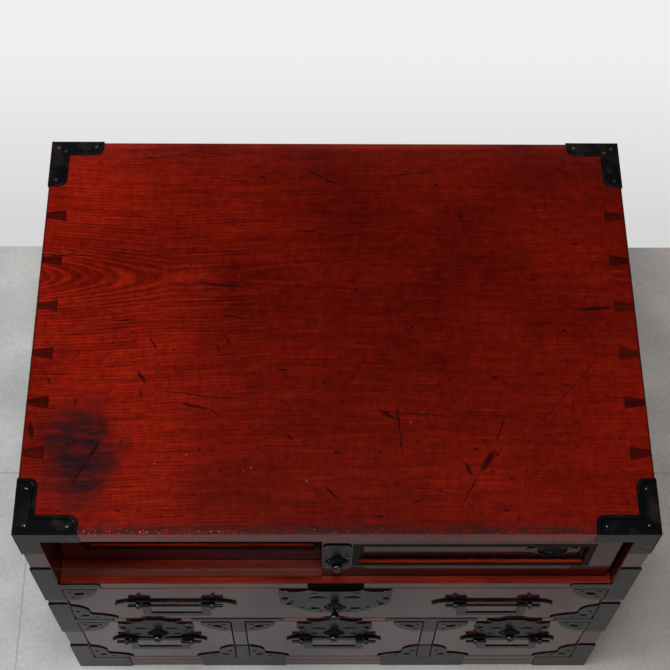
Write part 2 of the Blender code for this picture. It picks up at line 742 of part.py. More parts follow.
def make_pull(name, x, face, z, panel, carrier, iron):
    """A winged plate on a door panel with a round cup let into it for a fingertip."""
    wings = mirrored(PULL_HALF, PULL_WIDTH / 2, PULL_HEIGHT / 2)
    plate = add(name, sheet_mesh(name, wings, IRON), (x, face - SEAT, z), carrier, iron)
    outer = CUP_RADIUS + IRON
    depth = CUP_DEPTH + IRON
    rim = CUP_RADIUS + CUP_RIM_WIDTH
    rim_root = SEAT + IRON / 2
    lining = quarter_round()[::-1]
    cup = turned(
        name + "_cup",
        [(0, CUP_RIM_HEIGHT), (rim, CUP_RIM_HEIGHT), (rim, rim_root), (outer, rim_root)]
        + [(outer * across, -depth * along) for across, along in lining],
        (x, face, z), carrier,
    )
    boolean(plate, cup, "UNION")
    hollow = turned(
        name + "_hollow",
        [(0, CUP_RIM_HEIGHT + BEYOND), (CUP_RADIUS, CUP_RIM_HEIGHT + BEYOND)]
        + [(CUP_RADIUS * across, -CUP_DEPTH * along) for across, along in lining],
        (x, face, z), carrier,
    )
    boolean(plate, hollow, "DIFFERENCE")
    room = rod(name + "_room", outer + SEAT, (x, face - BEYOND, z), (x, face + depth + SEAT, z), carrier)
    boolean(panel, room, "DIFFERENCE")


def make_door(name, track, sign, wood, iron):
    """A framed door in its track. sign is +1 for the right door, whose meeting stile is on its left."""
    x_outer = sign * (INNER - DOOR_SIDE_GAP)
    x_meeting = x_outer - sign * DOOR_WIDTH
    face = FRONT + TRACK_LIP + TRACK_PITCH * track + TRACK_CLEARANCE
    back = face + DOOR_THICKNESS
    tongue_back = face + TRACK_WIDTH - 2 * TRACK_CLEARANCE
    foot = DOOR_Z - LOWER_TRACK_DEPTH + SEAT
    head = TOP_Z + UPPER_TONGUE
    low = DOOR_Z + DOOR_BOTTOM_GAP
    high = TOP_Z - DOOR_TOP_GAP
    carrier = body(name, ((x_outer + x_meeting) / 2, face, (low + high) / 2))
    left, right = sorted((x_outer, x_meeting))
    frame = box(name + "_frame", (left, face, foot), (right, back, head), carrier, wood, EDGE)
    for place, z_low, z_high in (("lower", foot - BEYOND, low), ("upper", high, head + BEYOND)):
        rebate = box(
            name + "_" + place + "_rebate",
            (left - BEYOND, tongue_back, z_low), (right + BEYOND, back + BEYOND, z_high), carrier,
        )
        boolean(frame, rebate, "DIFFERENCE")
    window_x = sorted((x_outer - sign * DOOR_STILE, x_meeting + sign * MEETING_STILE))
    window_z = (low + DOOR_RAIL, high - DOOR_RAIL)
    panel_face = face + PANEL_RECESS
    steps = [
        ("bead_step", 0, face - BEYOND, face + BEAD_RECESS),
        ("window", BEAD_WIDTH, face - BEYOND, back + BEYOND),
        ("panel_rebate", BEAD_WIDTH - PANEL_LIP, panel_face - SEAT, back + BEYOND),
    ]
    for place, inset, y_low, y_high in steps:
        step = box(
            name + "_" + place,
            (window_x[0] + inset, y_low, window_z[0] + inset),
            (window_x[1] - inset, y_high, window_z[1] - inset),
            carrier,
        )
        boolean(frame, step, "DIFFERENCE")
    inset = BEAD_WIDTH - PANEL_LIP + SEAT
    panel = box(
        name + "_panel",
        (window_x[0] + inset, panel_face, window_z[0] + inset),
        (window_x[1] - inset, back - SEAT, window_z[1] - inset),
        carrier, wood,
    )
    pull_x = x_outer - sign * PULL_INSET
    make_pull(name + "_pull", pull_x, panel_face, sum(window_z) / 2, panel, carrier, iron)
    return carrier, frame, x_meeting, face


def door_lock_outline():
    """A tall plate with clipped corners, about its own middle."""
    wide = DOOR_LOCK_WIDTH / 2
    tall = DOOR_LOCK_HEIGHT / 2
    clip = DOOR_LOCK_CLIP
    right = [(wide - clip, -tall), (wide, -tall + clip), (wide, tall - clip), (wide - clip, tall)]
    return right + [(-x, z) for x, z in right[::-1]]


def make_doors(wood, iron):
    """The left door in the rear track, and the right door, with its lock, in the front track."""
    make_door("left_door", 1, -1, wood, iron)
    carrier, frame, x_meeting, face = make_door("right_door", 0, 1, wood, iron)
    x = x_meeting + MEETING_STILE / 2
    z = DOOR_Z + DOOR_LOCK_RISE
    make_lock(
        "door_lock", frame, carrier, door_lock_outline(),
        (x, face - SEAT, z), (x, face, z - DOOR_BUTTON_DROP), BUTTON_REACH, iron,
    )


def main():
    clear_scene()
    red = finish("red_lacquered_wood", (0.30, 0.035, 0.020), 0.25, 0.0)
    plain = finish("plain_wood", (0.45, 0.30, 0.17), 0.6, 0.0)
    iron = finish("blackened_iron", (0.025, 0.026, 0.028), 0.45, 0.8)
    make_top_and_sides(red)
    make_inner_boards(red, plain)
    make_irons(iron)
    make_doors(red, iron)
    make_drawers(red, plain, iron)


main()
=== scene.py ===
# %% [markdown]
# # A lacquered sea chest
# The frame holds the working chest: boards, doors, drawers, handles and locks at their real size.
# This lesson dresses it: wood under old red lacquer, black iron plates, handles, locks and nails.

# %% Load the frame and keep its box
import json
import math

import bmesh
import bpy
from mathutils import Matrix, Vector


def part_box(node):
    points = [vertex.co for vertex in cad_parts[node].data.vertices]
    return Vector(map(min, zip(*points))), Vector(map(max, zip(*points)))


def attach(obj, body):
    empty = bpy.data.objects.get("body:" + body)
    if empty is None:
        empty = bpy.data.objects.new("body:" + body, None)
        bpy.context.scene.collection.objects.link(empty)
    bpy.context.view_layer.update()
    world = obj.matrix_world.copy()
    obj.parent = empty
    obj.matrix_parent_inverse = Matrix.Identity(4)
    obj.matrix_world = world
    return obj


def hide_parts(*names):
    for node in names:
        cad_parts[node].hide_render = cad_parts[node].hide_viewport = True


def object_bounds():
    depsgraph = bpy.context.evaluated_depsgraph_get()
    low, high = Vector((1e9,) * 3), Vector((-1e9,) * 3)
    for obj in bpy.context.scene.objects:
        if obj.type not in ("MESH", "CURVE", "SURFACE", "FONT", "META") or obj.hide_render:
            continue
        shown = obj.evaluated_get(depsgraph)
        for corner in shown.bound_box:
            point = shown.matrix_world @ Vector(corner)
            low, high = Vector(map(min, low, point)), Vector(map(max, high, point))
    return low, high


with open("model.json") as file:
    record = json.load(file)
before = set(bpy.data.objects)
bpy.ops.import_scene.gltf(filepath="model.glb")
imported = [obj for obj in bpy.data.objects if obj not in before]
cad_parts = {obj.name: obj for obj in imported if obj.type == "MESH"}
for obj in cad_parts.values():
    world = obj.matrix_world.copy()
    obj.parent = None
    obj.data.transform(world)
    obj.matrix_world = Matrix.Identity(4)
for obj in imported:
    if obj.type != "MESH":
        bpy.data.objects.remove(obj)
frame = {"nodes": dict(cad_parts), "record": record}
CAD_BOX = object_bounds()
NODES = frame["nodes"]

# %% [markdown]
# ## Camera
# The photo was taken from above the front edge with a long lens. The lens and the place were worked out from the
# seven corners of the case that can be seen, so the camera is set by its three axes and not by aiming it.

# %% Camera
PICTURE = 670
FOCAL_PIXELS = 1457.8
SENSOR = 36.0

camera_data = bpy.data.cameras.new("camera")
camera_data.sensor_width = SENSOR
camera_data.lens = FOCAL_PIXELS / PICTURE * SENSOR
camera = bpy.data.objects.new("camera", camera_data)
bpy.context.scene.collection.objects.link(camera)
right = Vector((0.99991917, -0.00472252, 0.01180487))
up = Vector((-0.00134837, 0.88383835, 0.46779051))
turn = Matrix((right, up, right.cross(up))).transposed()
camera.matrix_world = Matrix.Translation((-0.020015, -0.683852, 1.738315)) @ turn.to_4x4()
bpy.context.scene.camera = camera
bpy.context.scene.view_settings.view_transform = "Standard"
print("Camera: lens", round(camera_data.lens, 1), "mm")

# %% [markdown]
# ## Two helpers for materials
# Every material below is a small tree of nodes. One function turns an sRGB hex colour into the linear numbers that
# Blender counts in, and one adds a node, sets it up and links it.

# %% Colour and node helpers


def hex_colour(code):
    """An sRGB hex colour as linear red, green, blue and alpha."""
    shares = [int(code[i:i + 2], 16) / 255 for i in (0, 2, 4)]
    return (*[s / 12.92 if s <= 0.04045 else ((s + 0.055) / 1.055) ** 2.4 for s in shares], 1.0)


def add_node(tree, kind, sockets=None, **settings):
    """Adds a node. A socket is given a value, or the output of another node that it is linked to."""
    made = tree.nodes.new(kind)
    for name, value in settings.items():
        setattr(made, name, value)
    for socket, value in (sockets or {}).items():
        if isinstance(value, bpy.types.NodeSocket):
            tree.links.new(value, made.inputs[socket])
        else:
            made.inputs[socket].default_value = value
    return made


def new_material(name, **sockets):
    """A material with one Principled shader, whose uniform values are set on its own sockets."""
    material = bpy.data.materials.new(name)
    material.use_nodes = True
    shader = material.node_tree.nodes["Principled BSDF"]
    for socket, value in sockets.items():
        shader.inputs[socket.replace("_", " ")].default_value = value
    return material, material.node_tree, shader


# %% [markdown]
# ## Stage
# The chest stands on a pale grey floor a hand's breadth in front of a white wall. The wall is seen from its front
# only, so that a camera behind it looks through it at the back of the chest.

# %% Floor and wall
WALL_Y = 0.375
WALL_HEIGHT = 0.64
STAGE_REACH = 4.0
FLOOR_GAP = 0.0002


def stage_plane(name, corners, material):
    mesh = bpy.data.meshes.new(name)
    mesh.from_pydata(corners, [], [(0, 1, 2, 3)])
    mesh.materials.append(material)
    plane = bpy.data.objects.new(name, mesh)
    bpy.context.scene.collection.objects.link(plane)


JOINT_X = -0.381
JOINT_Y = 0.0355


def floor_material():
    """Slabs of trowelled grey plaster: clouds of two greys, a palm to an arm wide, fine grit, thin joints, and a
    painted shadow tint, warmer and a little darker to the right.
    """
    material, tree, shader = new_material("trowelled_plaster_floor", Roughness=0.7)
    place = add_node(tree, "ShaderNodeTexCoord").outputs["Object"]
    clouds = add_node(tree, "ShaderNodeTexNoise", {"Vector": place, "Scale": 1 / 0.10, "Detail": 6.0})
    ramp = add_node(tree, "ShaderNodeValToRGB", {0: clouds.outputs[0]})
    ramp.color_ramp.elements[0].position = 0.33
    ramp.color_ramp.elements[0].color = hex_colour("9A9B9A")
    ramp.color_ramp.elements[1].position = 0.68
    ramp.color_ramp.elements[1].color = hex_colour("B5B5B3")
    grit = add_node(tree, "ShaderNodeTexNoise", {"Vector": place, "Scale": 1 / 0.005, "Detail": 4.0})
    grit = add_node(tree, "ShaderNodeMapRange", {0: grit.outputs[0], 1: 0.3, 2: 0.7, 3: 0.92, 4: 1.08}).outputs[0]
    colour = add_node(tree, "ShaderNodeMixRGB", {
        "Fac": 1.0, "Color1": ramp.outputs[0], "Color2": grit
    }, blend_type="MULTIPLY")
    parts = add_node(tree, "ShaderNodeSeparateXYZ", {0: place})
    # Painted shade: the floor grows warmer and a little darker towards the right, where the chest's shadow falls.
    painted_shadow_tint = add_node(tree, "ShaderNodeMapRange", {0: parts.outputs["X"], 1: 0.0, 2: 0.36},
                    interpolation_type="SMOOTHSTEP").outputs[0]
    colour = add_node(tree, "ShaderNodeMixRGB", {
        "Fac": painted_shadow_tint, "Color1": colour.outputs[0], "Color2": (1.0, 0.93, 0.905, 1)
    }, blend_type="MULTIPLY")
    for axis, place_of_joint in (("X", JOINT_X), ("Y", JOINT_Y)):
        off = add_node(tree, "ShaderNodeMath", {0: parts.outputs[axis], 1: place_of_joint}, operation="SUBTRACT").outputs[0]
        off = add_node(tree, "ShaderNodeMath", {0: off}, operation="ABSOLUTE").outputs[0]
        joint = add_node(tree, "ShaderNodeMapRange", {0: off, 1: 0.0004, 2: 0.0012, 3: 0.42, 4: 0.0}).outputs[0]
        colour = add_node(tree, "ShaderNodeMixRGB", {
            "Fac": joint, "Color1": colour.outputs[0], "Color2": hex_colour("5E5852")
        })
    tree.links.new(colour.outputs[0], shader.inputs["Base Color"])
    return material


def wall_material():
    """White paint. The camera and reflections see it glow as a backdrop, greyer towards the floor by painted shade;
    from behind there is nothing at all.
    """
    material, tree, shader = new_material("white_painted_wall", Roughness=0.8)
    place = add_node(tree, "ShaderNodeTexCoord").outputs["Object"]
    height = add_node(tree, "ShaderNodeSeparateXYZ", {0: place}).outputs["Z"]
    # Painted shade: the glowing backdrop is greyer towards the floor.
    tone = add_node(tree, "ShaderNodeMapRange", {0: height, 1: 0.05, 2: 0.42, 3: 0.66, 4: 0.86})
    path = add_node(tree, "ShaderNodeLightPath")
    seen = add_node(tree, "ShaderNodeMath", {0: path.outputs["Is Camera Ray"], 1: path.outputs["Is Glossy Ray"]},
                    operation="MAXIMUM")
    backdrop_with_painted_shade = add_node(tree, "ShaderNodeEmission", {"Color": tone.outputs[0]})
    shader.inputs["Base Color"].default_value = hex_colour("E6E6E4")
    shown = add_node(tree, "ShaderNodeMixShader", {0: seen.outputs[0], 1: shader.outputs[0], 2: backdrop_with_painted_shade.outputs[0]})
    clear = add_node(tree, "ShaderNodeBsdfTransparent")
    back = add_node(tree, "ShaderNodeNewGeometry").outputs["Backfacing"]
    both = add_node(tree, "ShaderNodeMixShader", {0: back, 1: shown.outputs[0], 2: clear.outputs[0]})
    tree.links.new(both.outputs[0], tree.nodes["Material Output"].inputs["Surface"])
    return material


reach = STAGE_REACH
stage_plane(
    "floor", [(-reach, -reach, -FLOOR_GAP), (reach, -reach, -FLOOR_GAP), (reach, reach, -FLOOR_GAP),
              (-reach, reach, -FLOOR_GAP)], floor_material(),
)
stage_plane(
    "wall", [(-reach, WALL_Y, 0), (reach, WALL_Y, 0), (reach, WALL_Y, WALL_HEIGHT), (-reach, WALL_Y, WALL_HEIGHT)],
    wall_material(),
)
print("Stage: wall", round(WALL_Y - CAD_BOX[1].y, 3), "m behind the chest")

# %% [markdown]
# ## Light
# A soft lamp stands to the left and another hangs right above. Nothing hangs above the wall, because the lacquered
# top would mirror it, nor beside the camera, because the doors and their sill would throw it straight back. The
# sky is pale near the horizon and dark overhead.

# %% Lamps and sky


def soft_lamp(name, place, target, size, watts):
    data = bpy.data.lights.new(name, "AREA")
    data.shape = "DISK"
    data.size = size
    data.energy = watts
    lamp = bpy.data.objects.new(name, data)
    lamp.location = place
    lamp.rotation_euler = (Vector(target) - Vector(place)).to_track_quat("-Z", "Y").to_euler()
    bpy.context.scene.collection.objects.link(lamp)


soft_lamp("left_lamp", (-1.55, -0.35, 1.60), (0, 0, 0.4), 0.9, 28)
soft_lamp("overhead_lamp", (-0.10, -0.42, 2.40), (0, -0.1, 0.3), 0.66, 22)
soft_lamp("right_lamp", (1.9, -1.2, 1.1), (0, 0, 0.25), 1.4, 5)
soft_lamp("front_lamp", (0.6, -2.1, 1.5), (0.05, -0.2, 0.2), 0.8, 9)

sky = bpy.data.worlds.new("studio")
bpy.context.scene.world = sky
sky.use_nodes = True
sky_tree = sky.node_tree
sky_shader = sky_tree.nodes["Background"]
ray = add_node(sky_tree, "ShaderNodeTexCoord").outputs["Generated"]
ray_height = add_node(sky_tree, "ShaderNodeSeparateXYZ", {0: ray}).outputs["Z"]
dome = add_node(sky_tree, "ShaderNodeValToRGB", {0: ray_height})
dome.color_ramp.elements[0].position = 0.20
dome.color_ramp.elements[0].color = (0.50, 0.50, 0.50, 1)
dome.color_ramp.elements[1].position = 0.55
dome.color_ramp.elements[1].color = (0.012, 0.012, 0.013, 1)
sky_path = add_node(sky_tree, "ShaderNodeLightPath")
sky_colour = add_node(
    sky_tree, "ShaderNodeMixRGB",
    {"Fac": sky_path.outputs["Is Camera Ray"], "Color1": dome.outputs[0], "Color2": (0.86, 0.86, 0.86, 1)},
)
sky_tree.links.new(sky_colour.outputs[0], sky_shader.inputs["Color"])
print("Light: 4 soft lamps and a sky")

# %% [markdown]
# ## Lacquered wood
# Zelkova boards were stained and wiped with thin red lacquer again and again, so the grain still shows through.
# Growth rings give dark lines about 2 mm apart, pores give short dashes, and a century of use gives dull clouds.
# Each board is the same small tree of noise textures, stretched along the way its grain runs.

# %% Lacquer
RING = 0.0013
RING_RUN = 0.06
BAND = 0.009
BAND_RUN = 0.16
BAND_SHARE = 0.30
PORE = 0.0006
PORE_RUN = 0.014
CLOUD = 0.11
ALONG_X = (0, 0, 0)
ALONG_Y = (0, 0, math.pi / 2)
ALONG_Z = (0, math.pi / 2, 0)


def stretched_noise(tree, place, run, width, detail):
    """Noise whose marks are run long and width wide, in metres."""
    scaled = add_node(tree, "ShaderNodeMapping", {"Vector": place, "Scale": (1 / run, 1 / width, 1 / width)})
    return add_node(
        tree, "ShaderNodeTexNoise", {"Vector": scaled.outputs[0], "Scale": 1.0, "Detail": detail, "Roughness": 0.6}
    ).outputs[0]


def grain(tree, place, tones):
    """The colour of a lacquered board, and the height of its grain, from a place whose X runs with the grain."""
    rings = stretched_noise(tree, place, RING_RUN, RING, 2.0)
    bands = stretched_noise(tree, place, BAND_RUN, BAND, 2.0)
    pores = stretched_noise(tree, place, PORE_RUN, PORE, 1.0)
    mixed = add_node(tree, "ShaderNodeMix", {0: BAND_SHARE, 2: rings, 3: bands}).outputs[0]
    ramp = add_node(tree, "ShaderNodeValToRGB", {0: mixed})
    ramp.color_ramp.elements[0].position = 0.34
    ramp.color_ramp.elements[0].color = hex_colour(tones[0])
    ramp.color_ramp.elements[1].position = 0.66
    ramp.color_ramp.elements[1].color = hex_colour(tones[2])
    ramp.color_ramp.elements.new(0.49).color = hex_colour(tones[1])
    open_pore = add_node(tree, "ShaderNodeMapRange", {0: pores, 1: 0.34, 2: 0.44, 3: 0.62, 4: 1.0})
    colour = add_node(tree, "ShaderNodeMixRGB", {
        "Fac": 1.0, "Color1": ramp.outputs[0], "Color2": open_pore.outputs[0]
    }, blend_type="MULTIPLY")
    return colour.outputs[0], mixed


def finish_lacquer(tree, shader, colour, height, depth):
    """Sends a colour and a height to the shader."""
    tree.links.new(colour, shader.inputs["Base Color"])
    bump = add_node(tree, "ShaderNodeBump", {"Height": height, "Distance": depth, "Strength": 1.0})
    tree.links.new(bump.outputs[0], shader.inputs["Normal"])


def board_lacquer(name, tones, turn, gloss, upper_tones, ior=1.40):
    """Red lacquer on a board. What faces upwards has tones of its own: painted light, a brighter copy of the lacquer
    where light falls from above, or the darker tones of end grain.
    """
    material, tree, shader = new_material(name, Roughness=gloss, IOR=ior, Specular_Tint=(1.0, 0.9, 0.96, 1))
    coords = add_node(tree, "ShaderNodeTexCoord")
    place = add_node(tree, "ShaderNodeMapping", {"Vector": coords.outputs["Object"], "Rotation": turn}).outputs[0]
    colour, height = grain(tree, place, tones)
    # Painted light on upward faces, except end grain, which gets its own darker tones.
    worn_lit_or_end_grain, _ = grain(tree, coords.outputs["Object"], upper_tones)
    normal = add_node(tree, "ShaderNodeSeparateXYZ", {0: coords.outputs["Normal"]}).outputs["Z"]
    upward = add_node(tree, "ShaderNodeMapRange", {0: normal, 1: 0.25, 2: 0.6}).outputs[0]
    colour = add_node(tree, "ShaderNodeMixRGB", {"Fac": upward, "Color1": colour, "Color2": worn_lit_or_end_grain}).outputs[0]
    clouds = add_node(tree, "ShaderNodeTexNoise", {
        "Vector": coords.outputs["Object"], "Scale": 1 / CLOUD, "Detail": 5.0
    })
    dull = add_node(tree, "ShaderNodeMapRange", {0: clouds.outputs[0], 1: 0.3, 2: 0.6, 3: 0.66, 4: 1.1})
    colour = add_node(tree, "ShaderNodeMixRGB", {
        "Fac": 1.0, "Color1": colour, "Color2": dull.outputs[0]
    }, blend_type="MULTIPLY").outputs[0]
    finish_lacquer(tree, shader, colour, height, 0.00003)
    return material, tree, shader


FRONT_TONES = ("280A0D", "360C10", "440F13")
# Painted shade: the doors stand back under the top, and their tones are darker than the fronts'.
SHADED_DOOR_TONES = ("220605", "320807", "440B08")
# Painted light: brighter copies of the lacquer for the upward faces of the fronts, the door ledges and the sill.
LIT_UPPER_TONES = ("5C1208", "861D0C", "A02A12")
LIT_LEDGE_TONES = ("6C1C0C", "982A10", "B04018")
LIT_SILL_TONES = ("48120A", "681C0E", "7E2815")
END_TONES = ("2C0806", "3E0B07", "520F09")
front_lacquer, _, _ = board_lacquer("dark_red_lacquer_fronts", FRONT_TONES, ALONG_X, 0.10, LIT_UPPER_TONES)
side_lacquer, _, _ = board_lacquer("dark_red_lacquer_sides", FRONT_TONES, ALONG_Z, 0.12, END_TONES)
low_lacquer, _, _ = board_lacquer("glossy_red_lacquer_small_fronts", FRONT_TONES, ALONG_X, 0.10, LIT_UPPER_TONES, 1.55)
shaded_door_lacquer, _, _ = board_lacquer("red_lacquer_doors_painted_shade", SHADED_DOOR_TONES, ALONG_X, 0.12, LIT_LEDGE_TONES, 1.25)
print("Lacquer:", front_lacquer.name, side_lacquer.name)

# %% The sill where the doors run: dust in the grooves, painted light on top, painted shade behind the lip
GROOVE_Z = 0.3075
LIP_Y = -0.2048


def sill_dust_and_painted_light():
    """The lacquer of the sill: brown dust in its grooves, painted light on its upward faces, and a painted shade line
    where the lip meets the first groove.
    """
    material, tree, shader = board_lacquer("bright_red_lacquer_sill", FRONT_TONES, ALONG_X, 0.16, LIT_SILL_TONES)
    colour = shader.inputs["Base Color"].links[0].from_socket
    coords = add_node(tree, "ShaderNodeTexCoord").outputs["Object"]
    parts = add_node(tree, "ShaderNodeSeparateXYZ", {0: coords})
    low = add_node(tree, "ShaderNodeMath", {0: parts.outputs["Z"], 1: GROOVE_Z}, operation="LESS_THAN").outputs[0]
    behind = add_node(tree, "ShaderNodeMath", {0: parts.outputs["Y"], 1: LIP_Y - 0.0008}, operation="GREATER_THAN")
    groove = add_node(tree, "ShaderNodeMath", {0: low, 1: behind.outputs[0]}, operation="MULTIPLY").outputs[0]
    colour = add_node(tree, "ShaderNodeMixRGB", {
        "Fac": add_node(tree, "ShaderNodeMath", {0: groove, 1: 0.8}, operation="MULTIPLY").outputs[0],
        "Color1": colour, "Color2": hex_colour("6A3830"),
    }).outputs[0]
    # Painted shade: a dark line where the lip drops into the first groove.
    ahead = add_node(tree, "ShaderNodeMath", {0: parts.outputs["Y"], 1: LIP_Y}, operation="SUBTRACT").outputs[0]
    near = add_node(tree, "ShaderNodeMath", {0: ahead}, operation="ABSOLUTE").outputs[0]
    line = add_node(tree, "ShaderNodeMapRange", {0: near, 1: 0.0004, 2: 0.0013, 3: 0.75, 4: 0.0}).outputs[0]
    colour = add_node(tree, "ShaderNodeMixRGB", {"Fac": line, "Color1": colour, "Color2": hex_colour("1A0605")})
    tree.links.new(colour.outputs[0], shader.inputs["Base Color"])
    return material


sill_lacquer = sill_dust_and_painted_light()
print("Sill:", sill_lacquer.name)

# %% [markdown]
# ## The top board
# The top is where the eye rests: crimson with nested arches of grain at the left, a dark ring left by something wet,
# and years of knocks. The arches are parabolas, so the distance from a ring to the heart of the tree is the root of
# the square of the distance across plus a share of the distance along. Random knocks come from cells of a Voronoi
# texture, each with its own turn and length, and the few large ones that the eye knows are placed one by one.

# %% Top lacquer
TOP_TONES = ("620C05", "801407", "98200B")
HEART_X = -0.310
HEART_Y = 0.062
HEART_RUN = 0.14
HEART_SIZE = 0.030
RING_STEP = 0.0035
WARP = 0.006
WARP_SIZE = 0.30


def arched_grain(tree, place):
    """The place seen from the heart of the tree: X stays along the board, Y counts the rings."""
    warp = add_node(tree, "ShaderNodeTexNoise", {"Vector": place, "Scale": 1 / WARP_SIZE, "Detail": 2.0})
    shift = add_node(tree, "ShaderNodeMapRange", {0: warp.outputs[0], 1: 0.25, 2: 0.75, 3: -WARP, 4: WARP}).outputs[0]
    parts = add_node(tree, "ShaderNodeSeparateXYZ", {0: place})
    shift = add_node(tree, "ShaderNodeMath", {0: parts.outputs["Z"], 1: shift}, operation="ADD").outputs[0]
    across = add_node(tree, "ShaderNodeMath", {0: parts.outputs["Y"], 1: shift}, operation="ADD").outputs[0]
    heart = HEART_Y + CAD_BOX[1].z
    across = add_node(tree, "ShaderNodeMath", {0: across, 1: heart}, operation="SUBTRACT").outputs[0]
    square = add_node(tree, "ShaderNodeMath", {0: across, 1: across}, operation="MULTIPLY").outputs[0]
    rise = add_node(tree, "ShaderNodeMapRange", {
        0: parts.outputs["X"], 1: HEART_X, 2: HEART_X + HEART_RUN, 3: 0.0, 4: HEART_SIZE * HEART_SIZE
    }).outputs[0]
    fall = add_node(tree, "ShaderNodeMapRange", {
        0: parts.outputs["X"], 1: HEART_X + HEART_RUN, 2: -HEART_X, 3: 1.0, 4: 0.35
    }).outputs[0]
    lift = add_node(tree, "ShaderNodeMath", {0: rise, 1: fall, 2: square}, operation="MULTIPLY_ADD").outputs[0]
    ring = add_node(tree, "ShaderNodeMath", {0: lift, 1: 0.5}, operation="POWER").outputs[0]
    return add_node(tree, "ShaderNodeCombineXYZ", {0: parts.outputs["X"], 1: ring}).outputs[0]


def growth_rings(tree, place):
    """Dark rings round the heart of the tree, plain near it and faint towards the far end, from -1 to 1."""
    parts = add_node(tree, "ShaderNodeSeparateXYZ", {0: place})
    uneven = stretched_noise(tree, place, 0.05, 0.007, 2.0)
    uneven = add_node(tree, "ShaderNodeMath", {0: uneven, 1: 5.0}, operation="MULTIPLY").outputs[0]
    turns = add_node(tree, "ShaderNodeMath", {0: parts.outputs["Y"], 1: math.tau / RING_STEP, 2: uneven},
                     operation="MULTIPLY_ADD").outputs[0]
    wave = add_node(tree, "ShaderNodeMath", {0: turns}, operation="SINE").outputs[0]
    plain = add_node(tree, "ShaderNodeMapRange", {
        0: parts.outputs["X"], 1: HEART_X + HEART_RUN, 2: 0.0, 3: 1.0, 4: 0.16
    }, interpolation_type="SMOOTHSTEP").outputs[0]
    outer = add_node(tree, "ShaderNodeMapRange", {0: parts.outputs["Y"], 1: 0.03, 2: 0.12, 3: 1.0, 4: 0.4}).outputs[0]
    plain = add_node(tree, "ShaderNodeMath", {0: plain, 1: outer}, operation="MULTIPLY").outputs[0]
    return add_node(tree, "ShaderNodeMath", {0: wave, 1: plain}, operation="MULTIPLY").outputs[0]


def knocks(tree, place, cell, longest, width, share, leans):
    """Random dents and scratches that lean by angles between two, one at most in each cell, as a mask."""
    cells = add_node(tree, "ShaderNodeTexVoronoi", {"Vector": place, "Scale": 1 / cell}, voronoi_dimensions="2D")
    chance = add_node(tree, "ShaderNodeSeparateColor", {0: cells.outputs["Color"]})
    local = add_node(tree, "ShaderNodeVectorMath", {0: place, 1: cells.outputs["Position"]}, operation="SUBTRACT")
    lean = add_node(tree, "ShaderNodeMapRange", {0: chance.outputs[0], 3: leans[0], 4: leans[1]}, clamp=False).outputs[0]
    turned = add_node(tree, "ShaderNodeVectorRotate", {"Vector": local.outputs[0], "Angle": lean},
                      rotation_type="Z_AXIS")
    length = add_node(tree, "ShaderNodeMapRange", {0: chance.outputs[1], 3: 2.6 / longest, 4: 1 / longest}, clamp=False)
    scale = add_node(tree, "ShaderNodeCombineXYZ", {0: length.outputs[0], 1: 1 / width, 2: 0.0}).outputs[0]
    sized = add_node(tree, "ShaderNodeVectorMath", {0: turned.outputs[0], 1: scale}, operation="MULTIPLY").outputs[0]
    reach = add_node(tree, "ShaderNodeVectorMath", {0: sized}, operation="LENGTH").outputs["Value"]
    mark = add_node(tree, "ShaderNodeMapRange", {0: reach, 1: 0.4, 2: 1.0, 3: 1.0, 4: 0.0}, clamp=False).outputs[0]
    there = add_node(tree, "ShaderNodeMath", {0: chance.outputs[2], 1: share}, operation="LESS_THAN").outputs[0]
    return add_node(tree, "ShaderNodeMath", {0: mark, 1: there}, operation="MULTIPLY").outputs[0]


def gouge(tree, place, start, end, width):
    """One long mark between two points of the top, in metres, widest in its middle, as a mask."""
    run = Vector(end) - Vector(start)
    along = run.normalized() * 2 / run.length
    across = Vector((-run.y, run.x)).normalized() * 2 / width
    middle = (Vector(start) + Vector(end)) / 2
    local = add_node(tree, "ShaderNodeVectorMath", {0: place, 1: (*middle, 0)}, operation="SUBTRACT").outputs[0]
    far = add_node(tree, "ShaderNodeVectorMath", {0: local, 1: (*along, 0)}, operation="DOT_PRODUCT").outputs["Value"]
    wide = add_node(tree, "ShaderNodeVectorMath", {0: local, 1: (*across, 0)}, operation="DOT_PRODUCT").outputs["Value"]
    square = add_node(tree, "ShaderNodeMath", {0: far, 1: far}, operation="MULTIPLY").outputs[0]
    reach = add_node(tree, "ShaderNodeMath", {0: wide, 1: wide, 2: square}, operation="MULTIPLY_ADD").outputs[0]
    return add_node(tree, "ShaderNodeMapRange", {0: reach, 1: 0.2, 2: 1.0, 3: 1.0, 4: 0.0}, clamp=False).outputs[0]


def spot(tree, place, at, wide):
    return gouge(tree, place, (at[0] - wide / 2, at[1]), (at[0] + wide / 2, at[1] - wide / 4), wide)


def heaviest(tree, masks):
    """The strongest of several masks. They are made and clamped late, so that the shader holds few at once."""
    masks = iter(masks)
    mask = next(masks)
    for other in masks:
        mask = add_node(tree, "ShaderNodeMath", {0: mask, 1: other}, operation="MAXIMUM").outputs[0]
    return add_node(tree, "ShaderNodeClamp", {0: mask}).outputs[0]


